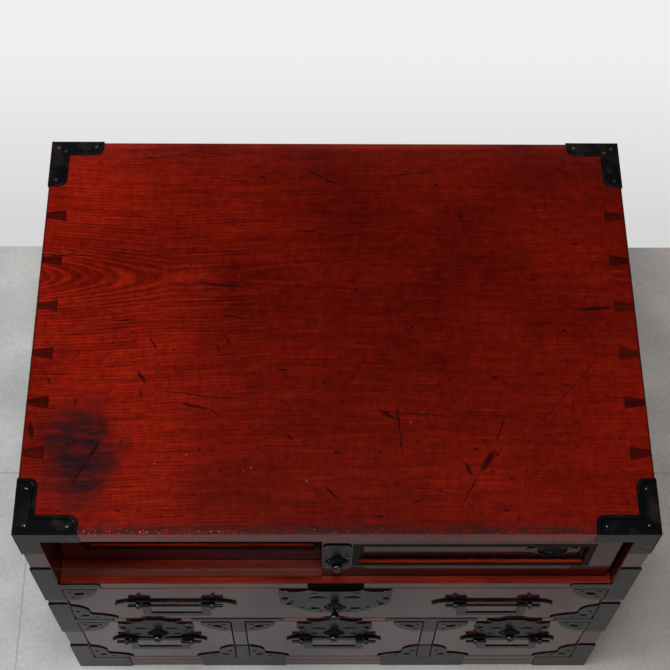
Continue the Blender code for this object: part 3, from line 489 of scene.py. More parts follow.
GOUGES = [
    ((-0.226, -0.115), (-0.240, -0.142), 0.0036), ((-0.236, -0.134), (-0.253, -0.168), 0.0030),
    ((-0.188, -0.063), (-0.078, -0.077), 0.0016), ((-0.156, -0.077), (-0.122, -0.086), 0.0036),
    ((-0.126, -0.085), (-0.112, -0.092), 0.0016), ((-0.196, -0.042), (-0.187, -0.059), 0.0040),
    ((-0.147, 0.058), (-0.112, 0.053), 0.0022), ((-0.124, 0.055), (-0.090, 0.050), 0.0028),
    ((-0.310, 0.089), (-0.240, 0.089), 0.0016), ((-0.222, 0.208), (-0.166, 0.211), 0.0020),
    ((-0.219, 0.206), (-0.210, 0.226), 0.0012), ((-0.176, 0.210), (-0.146, 0.220), 0.0016),
    ((-0.154, 0.219), (-0.100, 0.211), 0.0014), ((-0.120, 0.019), (-0.076, 0.014), 0.0024),
    ((-0.225, 0.013), (-0.198, 0.013), 0.0026), ((-0.042, 0.118), (-0.016, 0.117), 0.0018),
    ((-0.022, 0.118), (-0.006, 0.113), 0.0022), ((-0.030, 0.195), (-0.012, 0.183), 0.0022),
    ((-0.016, 0.185), (0.004, 0.174), 0.0026), ((-0.082, 0.188), (-0.072, 0.183), 0.0026),
    ((-0.136, 0.183), (-0.114, 0.183), 0.0014), ((-0.112, 0.181), (-0.086, 0.179), 0.0018),
    ((-0.014, -0.163), (0.004, -0.183), 0.0024), ((0.038, 0.185), (0.116, 0.194), 0.0013),
    ((0.164, -0.090), (0.151, -0.124), 0.0020), ((0.153, -0.126), (0.135, -0.152), 0.0075),
    ((0.138, -0.146), (0.112, -0.194), 0.0018), ((0.260, -0.026), (0.238, -0.055), 0.0014),
    ((0.242, -0.050), (0.186, -0.110), 0.0012), ((0.030, -0.087), (0.112, -0.092), 0.0016),
    ((0.058, -0.078), (0.061, -0.115), 0.0022), ((0.060, -0.108), (0.064, -0.136), 0.0020),
    ((0.036, -0.084), (0.062, -0.098), 0.0050), ((0.121, -0.139), (0.128, -0.156), 0.0045),
    ((0.128, -0.126), (0.138, -0.127), 0.0028), ((0.258, -0.070), (0.301, -0.076), 0.0016),
    ((0.152, -0.049), (0.159, -0.053), 0.0045), ((-0.003, -0.130), (0.004, -0.132), 0.0048),
    ((0.090, -0.170), (0.107, -0.171), 0.0022), ((0.238, 0.027), (0.282, 0.027), 0.0045),
    ((0.103, 0.178), (0.107, 0.174), 0.0040), ((0.128, 0.138), (0.133, 0.134), 0.0046),
    ((0.152, -0.131), (0.156, -0.134), 0.0060), ((0.146, -0.149), (0.149, -0.151), 0.0036),
    ((-0.187, -0.004), (-0.177, -0.022), 0.0026), ((-0.118, -0.014), (-0.116, -0.024), 0.0018),
    ((-0.109, -0.005), (-0.107, -0.014), 0.0020), ((-0.059, -0.041), (-0.049, -0.043), 0.0032),
    ((-0.256, -0.071), (-0.255, -0.083), 0.0020), ((-0.285, -0.050), (-0.280, -0.060), 0.0030),
    ((-0.210, -0.190), (-0.202, -0.188), 0.0024), ((-0.050, -0.110), (-0.042, -0.119), 0.0026),
    ((0.163, -0.155), (0.169, -0.161), 0.0030), ((0.154, -0.189), (0.163, -0.190), 0.0024),
    ((0.032, -0.196), (0.044, -0.196), 0.0020), ((0.070, -0.184), (0.080, -0.178), 0.0022),
    ((0.232, 0.199), (0.240, 0.196), 0.0030), ((0.205, 0.147), (0.213, 0.146), 0.0026),
    ((0.219, 0.158), (0.220, 0.147), 0.0016), ((0.243, 0.103), (0.251, 0.105), 0.0040),
    ((0.224, 0.002), (0.232, 0.000), 0.0034), ((0.074, 0.006), (0.077, 0.004), 0.0042),
    ((-0.298, -0.098), (-0.292, -0.118), 0.0070), ((0.013, 0.048), (0.024, 0.048), 0.0030),
]
SPOTS = [
    (0.056, 0.176), (0.080, 0.072), (0.072, 0.031), (0.106, 0.109), (-0.131, 0.000), (-0.012, -0.057),
    (-0.080, -0.108), (-0.041, -0.098), (-0.111, -0.149), (-0.076, -0.126), (-0.135, -0.174), (0.107, -0.047),
    (0.077, -0.062), (0.028, -0.033), (0.115, -0.077), (0.142, -0.096), (0.222, -0.110), (0.271, -0.059),
    (0.231, -0.099), (0.124, -0.194), (0.015, -0.199), (0.225, -0.128), (0.273, -0.180),
]
FLAKES = [(-0.174, -0.142), (-0.144, -0.133), (-0.089, -0.149), (-0.082, -0.146), (-0.029, -0.160), (0.071, -0.099)]
SPOT = 0.0034
FLAKE = 0.0022
FAINT = [
    ((-0.246, 0.175), (-0.244, 0.146), 0.0014), ((-0.060, 0.092), (-0.060, 0.054), 0.0016),
    ((-0.116, 0.050), (-0.115, 0.030), 0.0016), ((-0.166, -0.036), (-0.164, -0.066), 0.0016),
    ((-0.129, -0.034), (-0.135, -0.067), 0.0018), ((-0.053, -0.068), (-0.047, -0.165), 0.0018),
    ((-0.084, -0.070), (-0.084, -0.092), 0.0014), ((0.006, -0.084), (-0.045, -0.108), 0.0020),
    ((0.231, -0.072), (0.230, -0.091), 0.0040), ((0.216, -0.058), (0.236, -0.060), 0.0060),
    ((-0.227, -0.090), (-0.222, -0.114), 0.0160), ((-0.302, -0.128), (-0.276, -0.130), 0.0120),
]
TOP_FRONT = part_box("top_board")[0].y
TOP_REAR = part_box("top_board")[1].y
TOP_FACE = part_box("top_board")[1].z
TOP_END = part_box("top_board")[1].x
ANY_WAY = (-1.2, 1.9)
UPRIGHT = (1.42, 1.72)
STAIN = (-0.248, -0.131)
STAIN_SIZE = (0.046, 0.068)


def shaken(tree, place, size, swing):
    """A place moved to and fro by noise, so that marks drawn there are not straight."""
    noise = add_node(tree, "ShaderNodeTexNoise", {"Vector": place, "Scale": 1 / size, "Detail": 3.0})
    aside = add_node(tree, "ShaderNodeVectorMath", {0: noise.outputs["Color"], 1: (0.5, 0.5, 0.5)},
                     operation="SUBTRACT").outputs[0]
    return add_node(tree, "ShaderNodeVectorMath", {0: aside, 1: (swing, swing, 0), 2: place},
                    operation="MULTIPLY_ADD").outputs[0]


def darkened(tree, colour, mask, strength, tone):
    share = add_node(tree, "ShaderNodeMath", {0: mask, 1: strength}, operation="MULTIPLY").outputs[0]
    return add_node(tree, "ShaderNodeMixRGB", {
        "Fac": share, "Color1": colour, "Color2": hex_colour(tone)
    }).outputs[0]


def top_lacquer():
    material, tree, shader = new_material("crimson_lacquer_top", Roughness=0.20, IOR=1.38)
    source = add_node(tree, "ShaderNodeTexCoord")
    coords = source.outputs["Object"]
    bent = arched_grain(tree, coords)
    colour, height = grain(tree, bent, TOP_TONES)
    parts = add_node(tree, "ShaderNodeSeparateXYZ", {0: coords})
    calm = add_node(tree, "ShaderNodeMapRange", {0: parts.outputs["X"], 1: -0.26, 2: 0.06, 3: 0.05, 4: 0.28},
                    interpolation_type="SMOOTHSTEP").outputs[0]
    colour = add_node(tree, "ShaderNodeMixRGB", {
        "Fac": calm, "Color1": colour, "Color2": hex_colour(TOP_TONES[1])
    }).outputs[0]
    rings = add_node(tree, "ShaderNodeMapRange", {0: growth_rings(tree, bent), 1: -1.0, 2: 1.0, 3: 1.18, 4: 0.72})
    clouds = add_node(tree, "ShaderNodeTexNoise", {"Vector": coords, "Scale": 1 / 0.12, "Detail": 6.0}).outputs[0]
    dull = add_node(tree, "ShaderNodeMapRange", {0: clouds, 1: 0.32, 2: 0.68, 3: 0.66, 4: 1.16}).outputs[0]
    mottle = add_node(tree, "ShaderNodeTexNoise", {"Vector": coords, "Scale": 1 / 0.007, "Detail": 5.0}).outputs[0]
    mottle = add_node(tree, "ShaderNodeMapRange", {0: mottle, 1: 0.3, 2: 0.7, 3: 0.78, 4: 1.22}).outputs[0]
    across = add_node(tree, "ShaderNodeMapping", {"Vector": coords, "Rotation": ALONG_Y}).outputs[0]
    flecks = stretched_noise(tree, across, 0.022, 0.0014, 1.0)
    flecks = add_node(tree, "ShaderNodeMapRange", {0: flecks, 1: 0.3, 2: 0.7, 3: 0.92, 4: 1.08}).outputs[0]
    # Brightness by place: lighter at the left end, darker in the middle, and lighter towards the front on the right.
    leftward = add_node(tree, "ShaderNodeMapRange", {0: parts.outputs["X"], 1: -0.25, 2: 0.02, 3: 0.80, 4: 0.42},
                        interpolation_type="SMOOTHSTEP").outputs[0]
    rightward = add_node(tree, "ShaderNodeMapRange", {0: parts.outputs["X"], 1: 0.05, 2: 0.26, 3: 0.0, 4: 0.14},
                         interpolation_type="SMOOTHSTEP").outputs[0]
    forward = add_node(tree, "ShaderNodeMapRange", {0: parts.outputs["Y"], 1: -0.20, 2: 0.05, 3: 1.0, 4: 0.0},
                       interpolation_type="SMOOTHSTEP").outputs[0]
    by_side = add_node(tree, "ShaderNodeMapRange", {0: parts.outputs["X"], 1: -0.2, 2: 0.2, 3: -0.08, 4: 0.26})
    forward = add_node(tree, "ShaderNodeMath", {0: forward, 1: by_side.outputs[0]}, operation="MULTIPLY").outputs[0]
    top_brightness_layers = add_node(tree, "ShaderNodeMath", {0: leftward, 1: rightward}, operation="ADD").outputs[0]
    top_brightness_layers = add_node(tree, "ShaderNodeMath", {0: top_brightness_layers, 1: forward}, operation="ADD").outputs[0]
    for layer in (dull, mottle, flecks, rings.outputs[0]):
        top_brightness_layers = add_node(tree, "ShaderNodeMath", {0: top_brightness_layers, 1: layer}, operation="MULTIPLY").outputs[0]
    colour = add_node(tree, "ShaderNodeMixRGB", {"Fac": 1.0, "Color1": colour, "Color2": top_brightness_layers},
                      blend_type="MULTIPLY").outputs[0]

    stain_place = add_node(tree, "ShaderNodeMapping", {
        "Vector": shaken(tree, coords, 0.030, 0.050), "Location": (*STAIN, 0), "Scale": (*STAIN_SIZE, 10)
    }, vector_type="TEXTURE").outputs[0]
    stain_reach = add_node(tree, "ShaderNodeVectorMath", {0: stain_place}, operation="LENGTH").outputs["Value"]
    stain = add_node(tree, "ShaderNodeMapRange", {0: stain_reach, 1: 0.30, 2: 1.20, 3: 0.96, 4: 0.0},
                     interpolation_type="SMOOTHSTEP").outputs[0]
    streaks = stretched_noise(tree, coords, 0.030, 0.006, 4.0)
    streaks = add_node(tree, "ShaderNodeMapRange", {0: streaks, 1: 0.36, 2: 0.58, 3: 0.62, 4: 1.08}).outputs[0]
    stain = add_node(tree, "ShaderNodeMath", {0: stain, 1: streaks}, operation="MULTIPLY").outputs[0]
    colour = darkened(tree, colour, stain, 1.0, "200F12")

    rough_place = shaken(tree, coords, 0.010, 0.0050)
    fine_place = shaken(tree, coords, 0.024, 0.0020)
    torn_place = shaken(tree, coords, 0.0035, 0.0030)
    placed = heaviest(tree, (gouge(tree, rough_place, *row) for row in GOUGES))
    spots = heaviest(tree, (spot(tree, rough_place, at, SPOT) for at in SPOTS))
    flakes = heaviest(tree, (spot(tree, torn_place, at, FLAKE) for at in FLAKES))
    specks = heaviest(tree, [
        knocks(tree, torn_place, 0.013, 0.0016, 0.0008, 0.36, ANY_WAY),
        knocks(tree, torn_place, 0.023, 0.0028, 0.0011, 0.36, ANY_WAY),
        knocks(tree, torn_place, 0.060, 0.0040, 0.0014, 0.25, ANY_WAY),
    ])
    faint = heaviest(tree, (gouge(tree, rough_place, *row) for row in FAINT))
    faint = heaviest(tree, [
        faint,
        knocks(tree, fine_place, 0.036, 0.0110, 0.0005, 0.35, ANY_WAY),
        knocks(tree, fine_place, 0.042, 0.0160, 0.0005, 0.40, UPRIGHT),
        knocks(tree, fine_place, 0.090, 0.0380, 0.0005, 0.30, ANY_WAY),
    ])
    colour = darkened(tree, colour, faint, 0.45, "1C0605")
    colour = darkened(tree, colour, specks, 0.75, "1C0605")
    colour = darkened(tree, colour, spots, 0.70, "180504")
    colour = darkened(tree, colour, placed, 0.88, "160505")
    colour = darkened(tree, colour, flakes, 0.30, "8E7A7A")
    aside = add_node(tree, "ShaderNodeMath", {0: parts.outputs["X"]}, operation="ABSOLUTE").outputs[0]
    ends = add_node(tree, "ShaderNodeMapRange", {0: aside, 1: TOP_END - 0.0024, 2: TOP_END - 0.0008}).outputs[0]
    colour = darkened(tree, colour, ends, 0.85, "1C0403")

    brink = add_node(tree, "ShaderNodeMapRange", {
        0: parts.outputs["Y"], 1: TOP_FRONT + 0.0130, 2: TOP_FRONT + 0.0035
    }).outputs[0]
    upper = add_node(tree, "ShaderNodeMapRange", {
        0: parts.outputs["Z"], 1: TOP_FACE - 0.0012, 2: TOP_FACE - 0.0004
    }).outputs[0]
    brink = add_node(tree, "ShaderNodeMath", {0: brink, 1: upper}, operation="MULTIPLY").outputs[0]
    scuffs = stretched_noise(tree, coords, 0.012, 0.004, 4.0)
    worn = add_node(tree, "ShaderNodeMapRange", {0: scuffs, 1: 0.34, 2: 0.58}).outputs[0]
    worn = add_node(tree, "ShaderNodeMath", {0: worn, 1: brink}, operation="MULTIPLY").outputs[0]
    colour = darkened(tree, colour, worn, 0.88, "241818")
    below = add_node(tree, "ShaderNodeMath", {0: 1.0, 1: upper}, operation="SUBTRACT").outputs[0]
    dashes = stretched_noise(tree, coords, 0.014, 0.0022, 2.0)
    dashes = add_node(tree, "ShaderNodeMapRange", {0: dashes, 1: 0.62, 2: 0.66}).outputs[0]
    dashes = add_node(tree, "ShaderNodeMath", {0: dashes, 1: below}, operation="MULTIPLY").outputs[0]
    colour = darkened(tree, colour, dashes, 0.8, "120808")
    edge = add_node(tree, "ShaderNodeMapRange", {
        0: parts.outputs["Y"], 1: TOP_FRONT + 0.0055, 2: TOP_FRONT + 0.0035
    }).outputs[0]
    chips = stretched_noise(tree, coords, 0.0021, 0.0016, 3.0)
    chips = add_node(tree, "ShaderNodeMapRange", {0: chips, 1: 0.63, 2: 0.68}).outputs[0]
    clumps = add_node(tree, "ShaderNodeMapRange", {0: clouds, 1: 0.38, 2: 0.56, 3: 0.25}).outputs[0]
    for mask in (edge, upper, clumps):
        chips = add_node(tree, "ShaderNodeMath", {0: chips, 1: mask}, operation="MULTIPLY").outputs[0]
    colour = darkened(tree, colour, chips, 0.85, "A69C9E")
    rear = add_node(tree, "ShaderNodeMapRange", {
        0: parts.outputs["Y"], 1: TOP_REAR - 0.0085, 2: TOP_REAR - 0.0055
    }).outputs[0]
    patchy = add_node(tree, "ShaderNodeMapRange", {0: clouds, 1: 0.40, 2: 0.55}).outputs[0]
    worn_lit_or_end_grain = add_node(tree, "ShaderNodeMath", {0: rear, 1: patchy}, operation="MULTIPLY").outputs[0]
    colour = darkened(tree, colour, worn_lit_or_end_grain, 0.6, "7E1E0C")

    facing = add_node(tree, "ShaderNodeSeparateXYZ", {0: source.outputs["Normal"]}).outputs["Y"]
    sheen = add_node(tree, "ShaderNodeMapRange", {0: facing, 1: -0.9, 2: -0.3, 3: 0.27, 4: 0.5}).outputs[0]
    tree.links.new(sheen, shader.inputs["Specular IOR Level"])
    finish_lacquer(tree, shader, colour, height, 0.00002)
    return material


top_finish = top_lacquer()
print("Top:", len(top_finish.node_tree.nodes), "nodes,", len(GOUGES) + len(FAINT), "placed marks")

# %% [markdown]
# ## Plain wood and black iron
# Inside, the drawers and shelves are bare paulownia. The iron sheet was heated and rubbed with lacquer, which leaves a
# black skin that is half glossy, with brown patches where hands have worn it.

# %% Plain wood and iron
PLAIN_TONES = ("8A6A45", "A98860", "C2A47B")


def bare_wood(name, turn):
    material, tree, shader = new_material(name, Roughness=0.62)
    coords = add_node(tree, "ShaderNodeTexCoord").outputs["Object"]
    place = add_node(tree, "ShaderNodeMapping", {"Vector": coords, "Rotation": turn}).outputs[0]
    colour, height = grain(tree, place, PLAIN_TONES)
    finish_lacquer(tree, shader, colour, height, 0.00005)
    return material


def black_iron(name, dark, worn, gloss, ior=1.24):
    """Iron sheet under a baked black skin: a dark coat that mirrors like varnish, with worn brown clouds."""
    material, tree, shader = new_material(name, IOR=ior, Specular_Tint=(0.9, 0.96, 1.0, 1))
    coords = add_node(tree, "ShaderNodeTexCoord").outputs["Object"]
    clouds = add_node(tree, "ShaderNodeTexNoise", {"Vector": coords, "Scale": 1 / 0.018, "Detail": 5.0}).outputs[0]
    ramp = add_node(tree, "ShaderNodeValToRGB", {0: clouds})
    ramp.color_ramp.elements[0].position = 0.50
    ramp.color_ramp.elements[0].color = hex_colour(dark)
    ramp.color_ramp.elements[1].position = 0.74
    ramp.color_ramp.elements[1].color = hex_colour(worn)
    tree.links.new(ramp.outputs[0], shader.inputs["Base Color"])
    rough = add_node(tree, "ShaderNodeMapRange", {0: clouds, 1: 0.3, 2: 0.7, 3: gloss, 4: gloss + 0.08})
    tree.links.new(rough.outputs[0], shader.inputs["Roughness"])
    beaten = add_node(tree, "ShaderNodeTexNoise", {"Vector": coords, "Scale": 1 / 0.007, "Detail": 3.0}).outputs[0]
    bump = add_node(tree, "ShaderNodeBump", {"Height": beaten, "Distance": 0.00004, "Strength": 1.0})
    tree.links.new(bump.outputs[0], shader.inputs["Normal"])
    return material


wood_along_x = bare_wood("bare_paulownia_along_x", ALONG_X)
wood_along_y = bare_wood("bare_paulownia_along_y", ALONG_Y)
iron = black_iron("blackened_iron", "090A0C", "231B17", 0.20, 1.22)
shaded_iron = black_iron("shaded_black_iron", "08090A", "16100E", 0.20, 1.16)
rubbed_iron = black_iron("rubbed_iron_bead", "0A0B0C", "1C1816", 0.16, 1.30)
# Painted shade: a near-black iron that mirrors almost nothing, for the strike hood, the grooves of the corner irons,
# the feet behind the handle eyes and the grounds under pierced plates, where it also stands for dirt.
black_for_shade_and_dirt = black_iron("black_iron_painted_shade_and_dirt", "050505", "0A0807", 0.40, 1.04)
print("Bare wood and", iron.name)

# %% Put the finishes on the frame's own pieces
FINISHES = {"red_lacquer": front_lacquer, "plain_wood": wood_along_y, "black_iron": iron}
SPECIAL = {
    "top_board": top_finish, "door_sill": sill_lacquer, "left_side_board": side_lacquer,
    "right_side_board": side_lacquer, "left_divider": side_lacquer, "right_divider": side_lacquer,
    "left_drawer_front": low_lacquer, "middle_drawer_front": low_lacquer, "right_drawer_front": low_lacquer,
    "left_door_frame": shaded_door_lacquer, "right_door_frame": shaded_door_lacquer,
    "left_door_panel": shaded_door_lacquer, "right_door_panel": shaded_door_lacquer,
}
for subpart in frame["record"]["subparts"]:
    name = subpart["node"]
    mesh = NODES[name].data
    mesh.materials.clear()
    mesh.materials.append(SPECIAL.get(name, FINISHES[subpart["material_slot"]]))
print("Finishes on", len(NODES), "nodes")

# %% [markdown]
# ## Cutting sheet iron
# A smith cut each plate from sheet, pierced it, filed the edges and nailed it on. Here a plate is a flat curve: one
# closed outline and a closed loop for each hole, filled, given a thickness and a fine rounded edge, then made a mesh.
# Scalloped edges are runs of arcs, so an outline is a short list of corners and how far each run swells.

# %% Outlines
ARC_STEPS = 7
DOT_STEPS = 10


def arc(start, end, swell):
    """Points from start up to end on an arc that swells to the right by that share of half its chord."""
    start, end = Vector(start), Vector(end)
    if not swell:
        return [start]
    half = (end - start).length / 2
    along = (end - start).normalized()
    out = Vector((along.y, -along.x))
    radius = half * (1 + swell * swell) / (2 * swell)
    centre = (start + end) / 2 + out * (swell * half - radius)
    spread = 2 * math.atan(swell)
    turns = [-spread + 2 * spread * step / ARC_STEPS for step in range(ARC_STEPS)]
    return [centre + along * (radius * math.sin(turn)) + out * (radius * math.cos(turn)) for turn in turns]


def outline(corners):
    """The closed loop through corners of (across, up, swell), anticlockwise."""
    points = []
    for corner, following in zip(corners, corners[1:] + corners[:1]):
        points += arc(corner[:2], following[:2], corner[2])
    return points


def both_halves(half):
    """The loop whose right half runs from its lowest corner to its highest, joined to its mirror image."""
    right = []
    for corner, following in zip(half, half[1:]):
        right += arc(corner[:2], following[:2], corner[2])
    right.append(Vector(half[-1][:2]))
    left = [Vector((-point.x, point.y)) for point in reversed(right) if point.x > 1e-6]
    return right + left


def moved(points, across, up, turn=0.0, flip=1):
    """A loop turned, mirrored where flip is -1, and moved to its place."""
    cos, sin = math.cos(turn), math.sin(turn)
    return [Vector((across + flip * (p.x * cos - p.y * sin), up + p.x * sin + p.y * cos)) for p in points]


def dot(radius):
    turns = [math.tau * step / DOT_STEPS for step in range(DOT_STEPS)]
    return [Vector((radius * math.cos(turn), radius * math.sin(turn))) for turn in turns]


def leaf(half):
    """A plump leaf that stands on its end."""
    return [Vector((p.x, 1.2 * p.y)) for p in dot(half)]


def bean(half):
    return [Vector((p.x, 0.6 * p.y)) for p in dot(half)]


def gull(half):
    """Two spread wings that meet in a low peak."""
    return outline([(-half, -0.1 * half, -0.2), (0, 0.10 * half, -0.2), (half, -0.1 * half, 0.35), (0, 0.85 * half, 0.35)])


def comma(size):
    return outline([(-size, -0.7 * size, 0.5), (0.4 * size, -0.2 * size, 0.95), (0.1 * size, 0.6 * size, -0.1)])


def oblong(low, high):
    """A rectangle from its low corner to its high one."""
    return [Vector(low), Vector((high[0], low[1])), Vector(high), Vector((low[0], high[1]))]


print("Outlines: a gull has", len(gull(0.009)), "points")

# %% Plates, turned pieces, and how a piece joins the chest
SHEET = 0.0013
FILED = 0.00025
SHARP = math.radians(20)
FACE_AXES = {
    "top": ((1, 0, 0), (0, 1, 0)),
    "front": ((1, 0, 0), (0, 0, 1)),
    "rear": ((-1, 0, 0), (0, 0, 1)),
    "right": ((0, 1, 0), (0, 0, 1)),
    "left": ((0, -1, 0), (0, 0, 1)),
}


def on_face(face, at):
    """The matrix that lays a flat shape on a face of the chest: X and Y along the face, Z outwards."""
    across, up = (Vector(axis) for axis in FACE_AXES[face])
    turn = Matrix((across, up, across.cross(up))).transposed()
    return Matrix.Translation(at) @ turn.to_4x4()


def anticlockwise(loop):
    area = sum(a[0] * b[1] - b[0] * a[1] for a, b in zip(loop, loop[1:] + loop[:1]))
    return loop if area > 0 else loop[::-1]


def plate(loops, thick, place, filed=FILED):
    """A plate with its outside loop first and then its holes. Its back lies on the place."""
    curve = bpy.data.curves.new("plate", "CURVE")
    curve.dimensions = "2D"
    curve.fill_mode = "BOTH"
    curve.extrude = thick / 2 - filed
    curve.bevel_depth = filed
    curve.bevel_resolution = 1
    curve.offset = -filed
    for loop in loops:
        spline = curve.splines.new("POLY")
        spline.points.add(len(loop) - 1)
        for point, corner in zip(spline.points, anticlockwise(loop)):
            point.co = (corner[0], corner[1], 0, 1)
        spline.use_cyclic_u = True
    holder = bpy.data.objects.new("plate", curve)
    bpy.context.scene.collection.objects.link(holder)
    graph = bpy.context.evaluated_depsgraph_get()
    mesh = bpy.data.meshes.new_from_object(holder.evaluated_get(graph))
    bpy.data.objects.remove(holder)
    mesh.transform(place @ Matrix.Translation((0, 0, thick / 2)))
    return mesh


def loft(rings, place, closed_ends=False):
    """The skin through rings of points that each have as many points, one ring after another."""
    bm = bmesh.new()
    circles = [[bm.verts.new(point) for point in ring] for ring in rings]
    count = len(circles[0])
    for lower, upper in zip(circles, circles[1:]):
        for i in range(count):
            j = (i + 1) % count
            bm.faces.new((lower[i], lower[j], upper[j], upper[i]))
    if closed_ends:
        bm.faces.new(circles[0][::-1])
        bm.faces.new(circles[-1])
    mesh = bpy.data.meshes.new("loft")
    bm.to_mesh(mesh)
    bm.free()
    mesh.transform(place)
    return mesh


def turned(profile, place, steps=28):
    """A shape turned about its own Z, from (radius, height) pairs."""
    turns = [math.tau * step / steps for step in range(steps)]
    return loft([[(r * math.cos(t), r * math.sin(t), h) for t in turns] for r, h in profile], place)


def piece(name, meshes, material, body, *nodes):
    """One iron of several meshes that moves with a body, and stands for the CAD nodes that are named."""
    bm = bmesh.new()
    for mesh in meshes:
        bm.from_mesh(mesh)
        bpy.data.meshes.remove(mesh)
    bmesh.ops.remove_doubles(bm, verts=bm.verts, dist=2e-6)
    bmesh.ops.dissolve_degenerate(bm, edges=bm.edges, dist=1e-6)
    bmesh.ops.recalc_face_normals(bm, faces=bm.faces)
    whole = bpy.data.meshes.new(name)
    bm.to_mesh(whole)
    bm.free()
    whole.shade_smooth()
    whole.set_sharp_from_angle(angle=SHARP)
    whole.materials.clear()
    whole.materials.append(material)
    made = bpy.data.objects.new(name, whole)
    bpy.context.scene.collection.objects.link(made)
    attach(made, body)
    if nodes:
        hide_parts(*nodes)
    return made


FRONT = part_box("wide_drawer_front")[0].y
SEATED = FRONT - 0.0001
NAILS = {}


def nail(body, face, *places):
    """Notes where nails go: their place on the surface and the way it faces. They are made last."""
    across, up = (Vector(axis) for axis in FACE_AXES[face])
    NAILS.setdefault(body, []).extend((Vector(place), across.cross(up)) for place in places)


print("Fronts lie at y =", round(FRONT, 5))

# %% [markdown]
# ## Irons on the carcass
# Bent irons clasp the four corners of the top. A raised bead runs along their inner edge, and their arms end in a
# round shoulder. Three more on each front post hold the rails, and two tee-shaped ones hold each divider.

# %% Corner irons of the top
SHOULDER = 0.009
ROOF_SHEET = 0.0005
SKIN_SHEET = 0.0006
NAIL_RISE = 0.0004
BEAD_INSET = 0.0014
BEAD_WIDTH = 0.0021
BEAD_GROOVE = 0.0013
POST = 0.0213
TOP_LOW, TOP_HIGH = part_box("top_board")


def l_plate(x_arm, y_arm, x_band, y_band, shrink):
    """An L with its corner at the origin: arms along X and Y, with round shoulders on their inner ends."""
    bend = SHOULDER - shrink / 2
    x_end, y_end = x_arm - shrink, y_arm - shrink
    x_in, y_in = x_band - shrink, y_band - shrink
    return outline([
        (0, 0, 0), (x_end, 0, 0), (x_end, y_in - bend, 0.41), (x_end - bend, y_in, 0), (x_in, y_in, 0),
        (x_in, y_end - bend, 0.41), (x_in - bend, y_end, 0), (0, y_end, 0),
    ])


def corner_iron(name, sign, facing, x_band, y_band):
    """A corner iron in the place of the CAD one: an L on the top with its bead, and a return on each face."""
    low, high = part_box(name)
    x_out = sign * max(abs(low.x), abs(high.x))
    y_out = high.y if facing > 0 else low.y
    x_arm, y_arm = high.x - low.x, high.y - low.y
    roof = Matrix.Translation((0, 0, TOP_HIGH.z + 0.0001))

    def laid(loop):
        return [Vector((x_out - sign * p.x, y_out - facing * p.y)) for p in loop]

    arms = (x_arm, y_arm, x_band, y_band)
    outer = l_plate(*arms, BEAD_INSET)
    inner = l_plate(*arms, BEAD_INSET + BEAD_WIDTH)
    deeper = l_plate(*arms, BEAD_INSET + BEAD_WIDTH + BEAD_GROOVE)
    meshes = [plate([laid(l_plate(*arms, 0.0))], ROOF_SHEET, roof, 0.0001)]
    bead = plate([laid(outer[1:] + inner[:0:-1])], high.z - TOP_HIGH.z - 0.0001, roof, 0.0002)
    piece(name + "_bead", [bead], rubbed_iron, "chest")
    # Painted shade: the groove is not cut; a thin near-black strip lies along it.
    groove = plate([laid(inner[1:] + deeper[:0:-1])], ROOF_SHEET + 0.0001, roof, 0.0001)
    piece(name + "_groove", [groove], black_for_shade_and_dirt, "chest")
    eaves = TOP_LOW.z + 0.0003
    for across, arm, band in ((0, x_arm, POST), (1, y_arm, x_band)):
        loop = outline([
            (0, low.z, 0), (band, low.z, 0), (band, eaves, 0), (arm, eaves, 0), (arm, TOP_HIGH.z + 0.0005, 0),
            (0, TOP_HIGH.z + 0.0005, 0),
        ])
        if across:
            place = on_face("right" if sign > 0 else "left", (x_out - sign * (SKIN_SHEET + NAIL_RISE), y_out, 0))
            flip = -facing if sign > 0 else facing
        else:
            place = on_face("rear" if facing > 0 else "front", (x_out, y_out - facing * (SKIN_SHEET + NAIL_RISE), 0))
            flip = sign if facing > 0 else -sign
        meshes.append(plate([[Vector((flip * p.x, p.y)) for p in loop]], SKIN_SHEET, place, 0.0001))
    piece(name + "_forged", meshes, iron, "chest", name)

    nailed = high.z - NAIL_RISE
    spots = [(0.011, 0.010), (x_arm - 0.010, 0.009), (0.010, y_arm - 0.010)]
    if facing > 0:
        spots = [(0.008, 0.008), (0.016, 0.013), (x_arm - 0.008, 0.007), (0.008, y_arm - 0.008)]
    nail("chest", "top", *[(x_out - sign * x, y_out - facing * y, nailed) for x, y in spots])
    side_x = x_out - sign * NAIL_RISE
    nail("chest", "right" if sign > 0 else "left",
         *[(side_x, y_out - facing * y, z) for y, z in ((0.010, 0.443), (0.050, 0.443), (0.010, 0.408))])
    face_y = y_out - facing * NAIL_RISE
    nail("chest", "rear" if facing > 0 else "front",
         *[(x_out - sign * x, face_y, z) for x, z in ((0.011, 0.443), (x_arm - 0.008, 0.443), (0.011, 0.408))])


for side, sign in (("left", -1), ("right", 1)):
    corner_iron("front_" + side + "_corner_iron", sign, -1, 0.020, 0.020)
    corner_iron("rear_" + side + "_corner_iron", sign, 1, 0.020, 0.017)
print("Corner irons: 4")

# %% Irons on the front posts
ARM_ROUND = 0.004
SILL_LOW, SILL_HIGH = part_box("door_sill")
RAIL_LOW, RAIL_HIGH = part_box("middle_rail")
BASE_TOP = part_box("bottom_board")[1].z


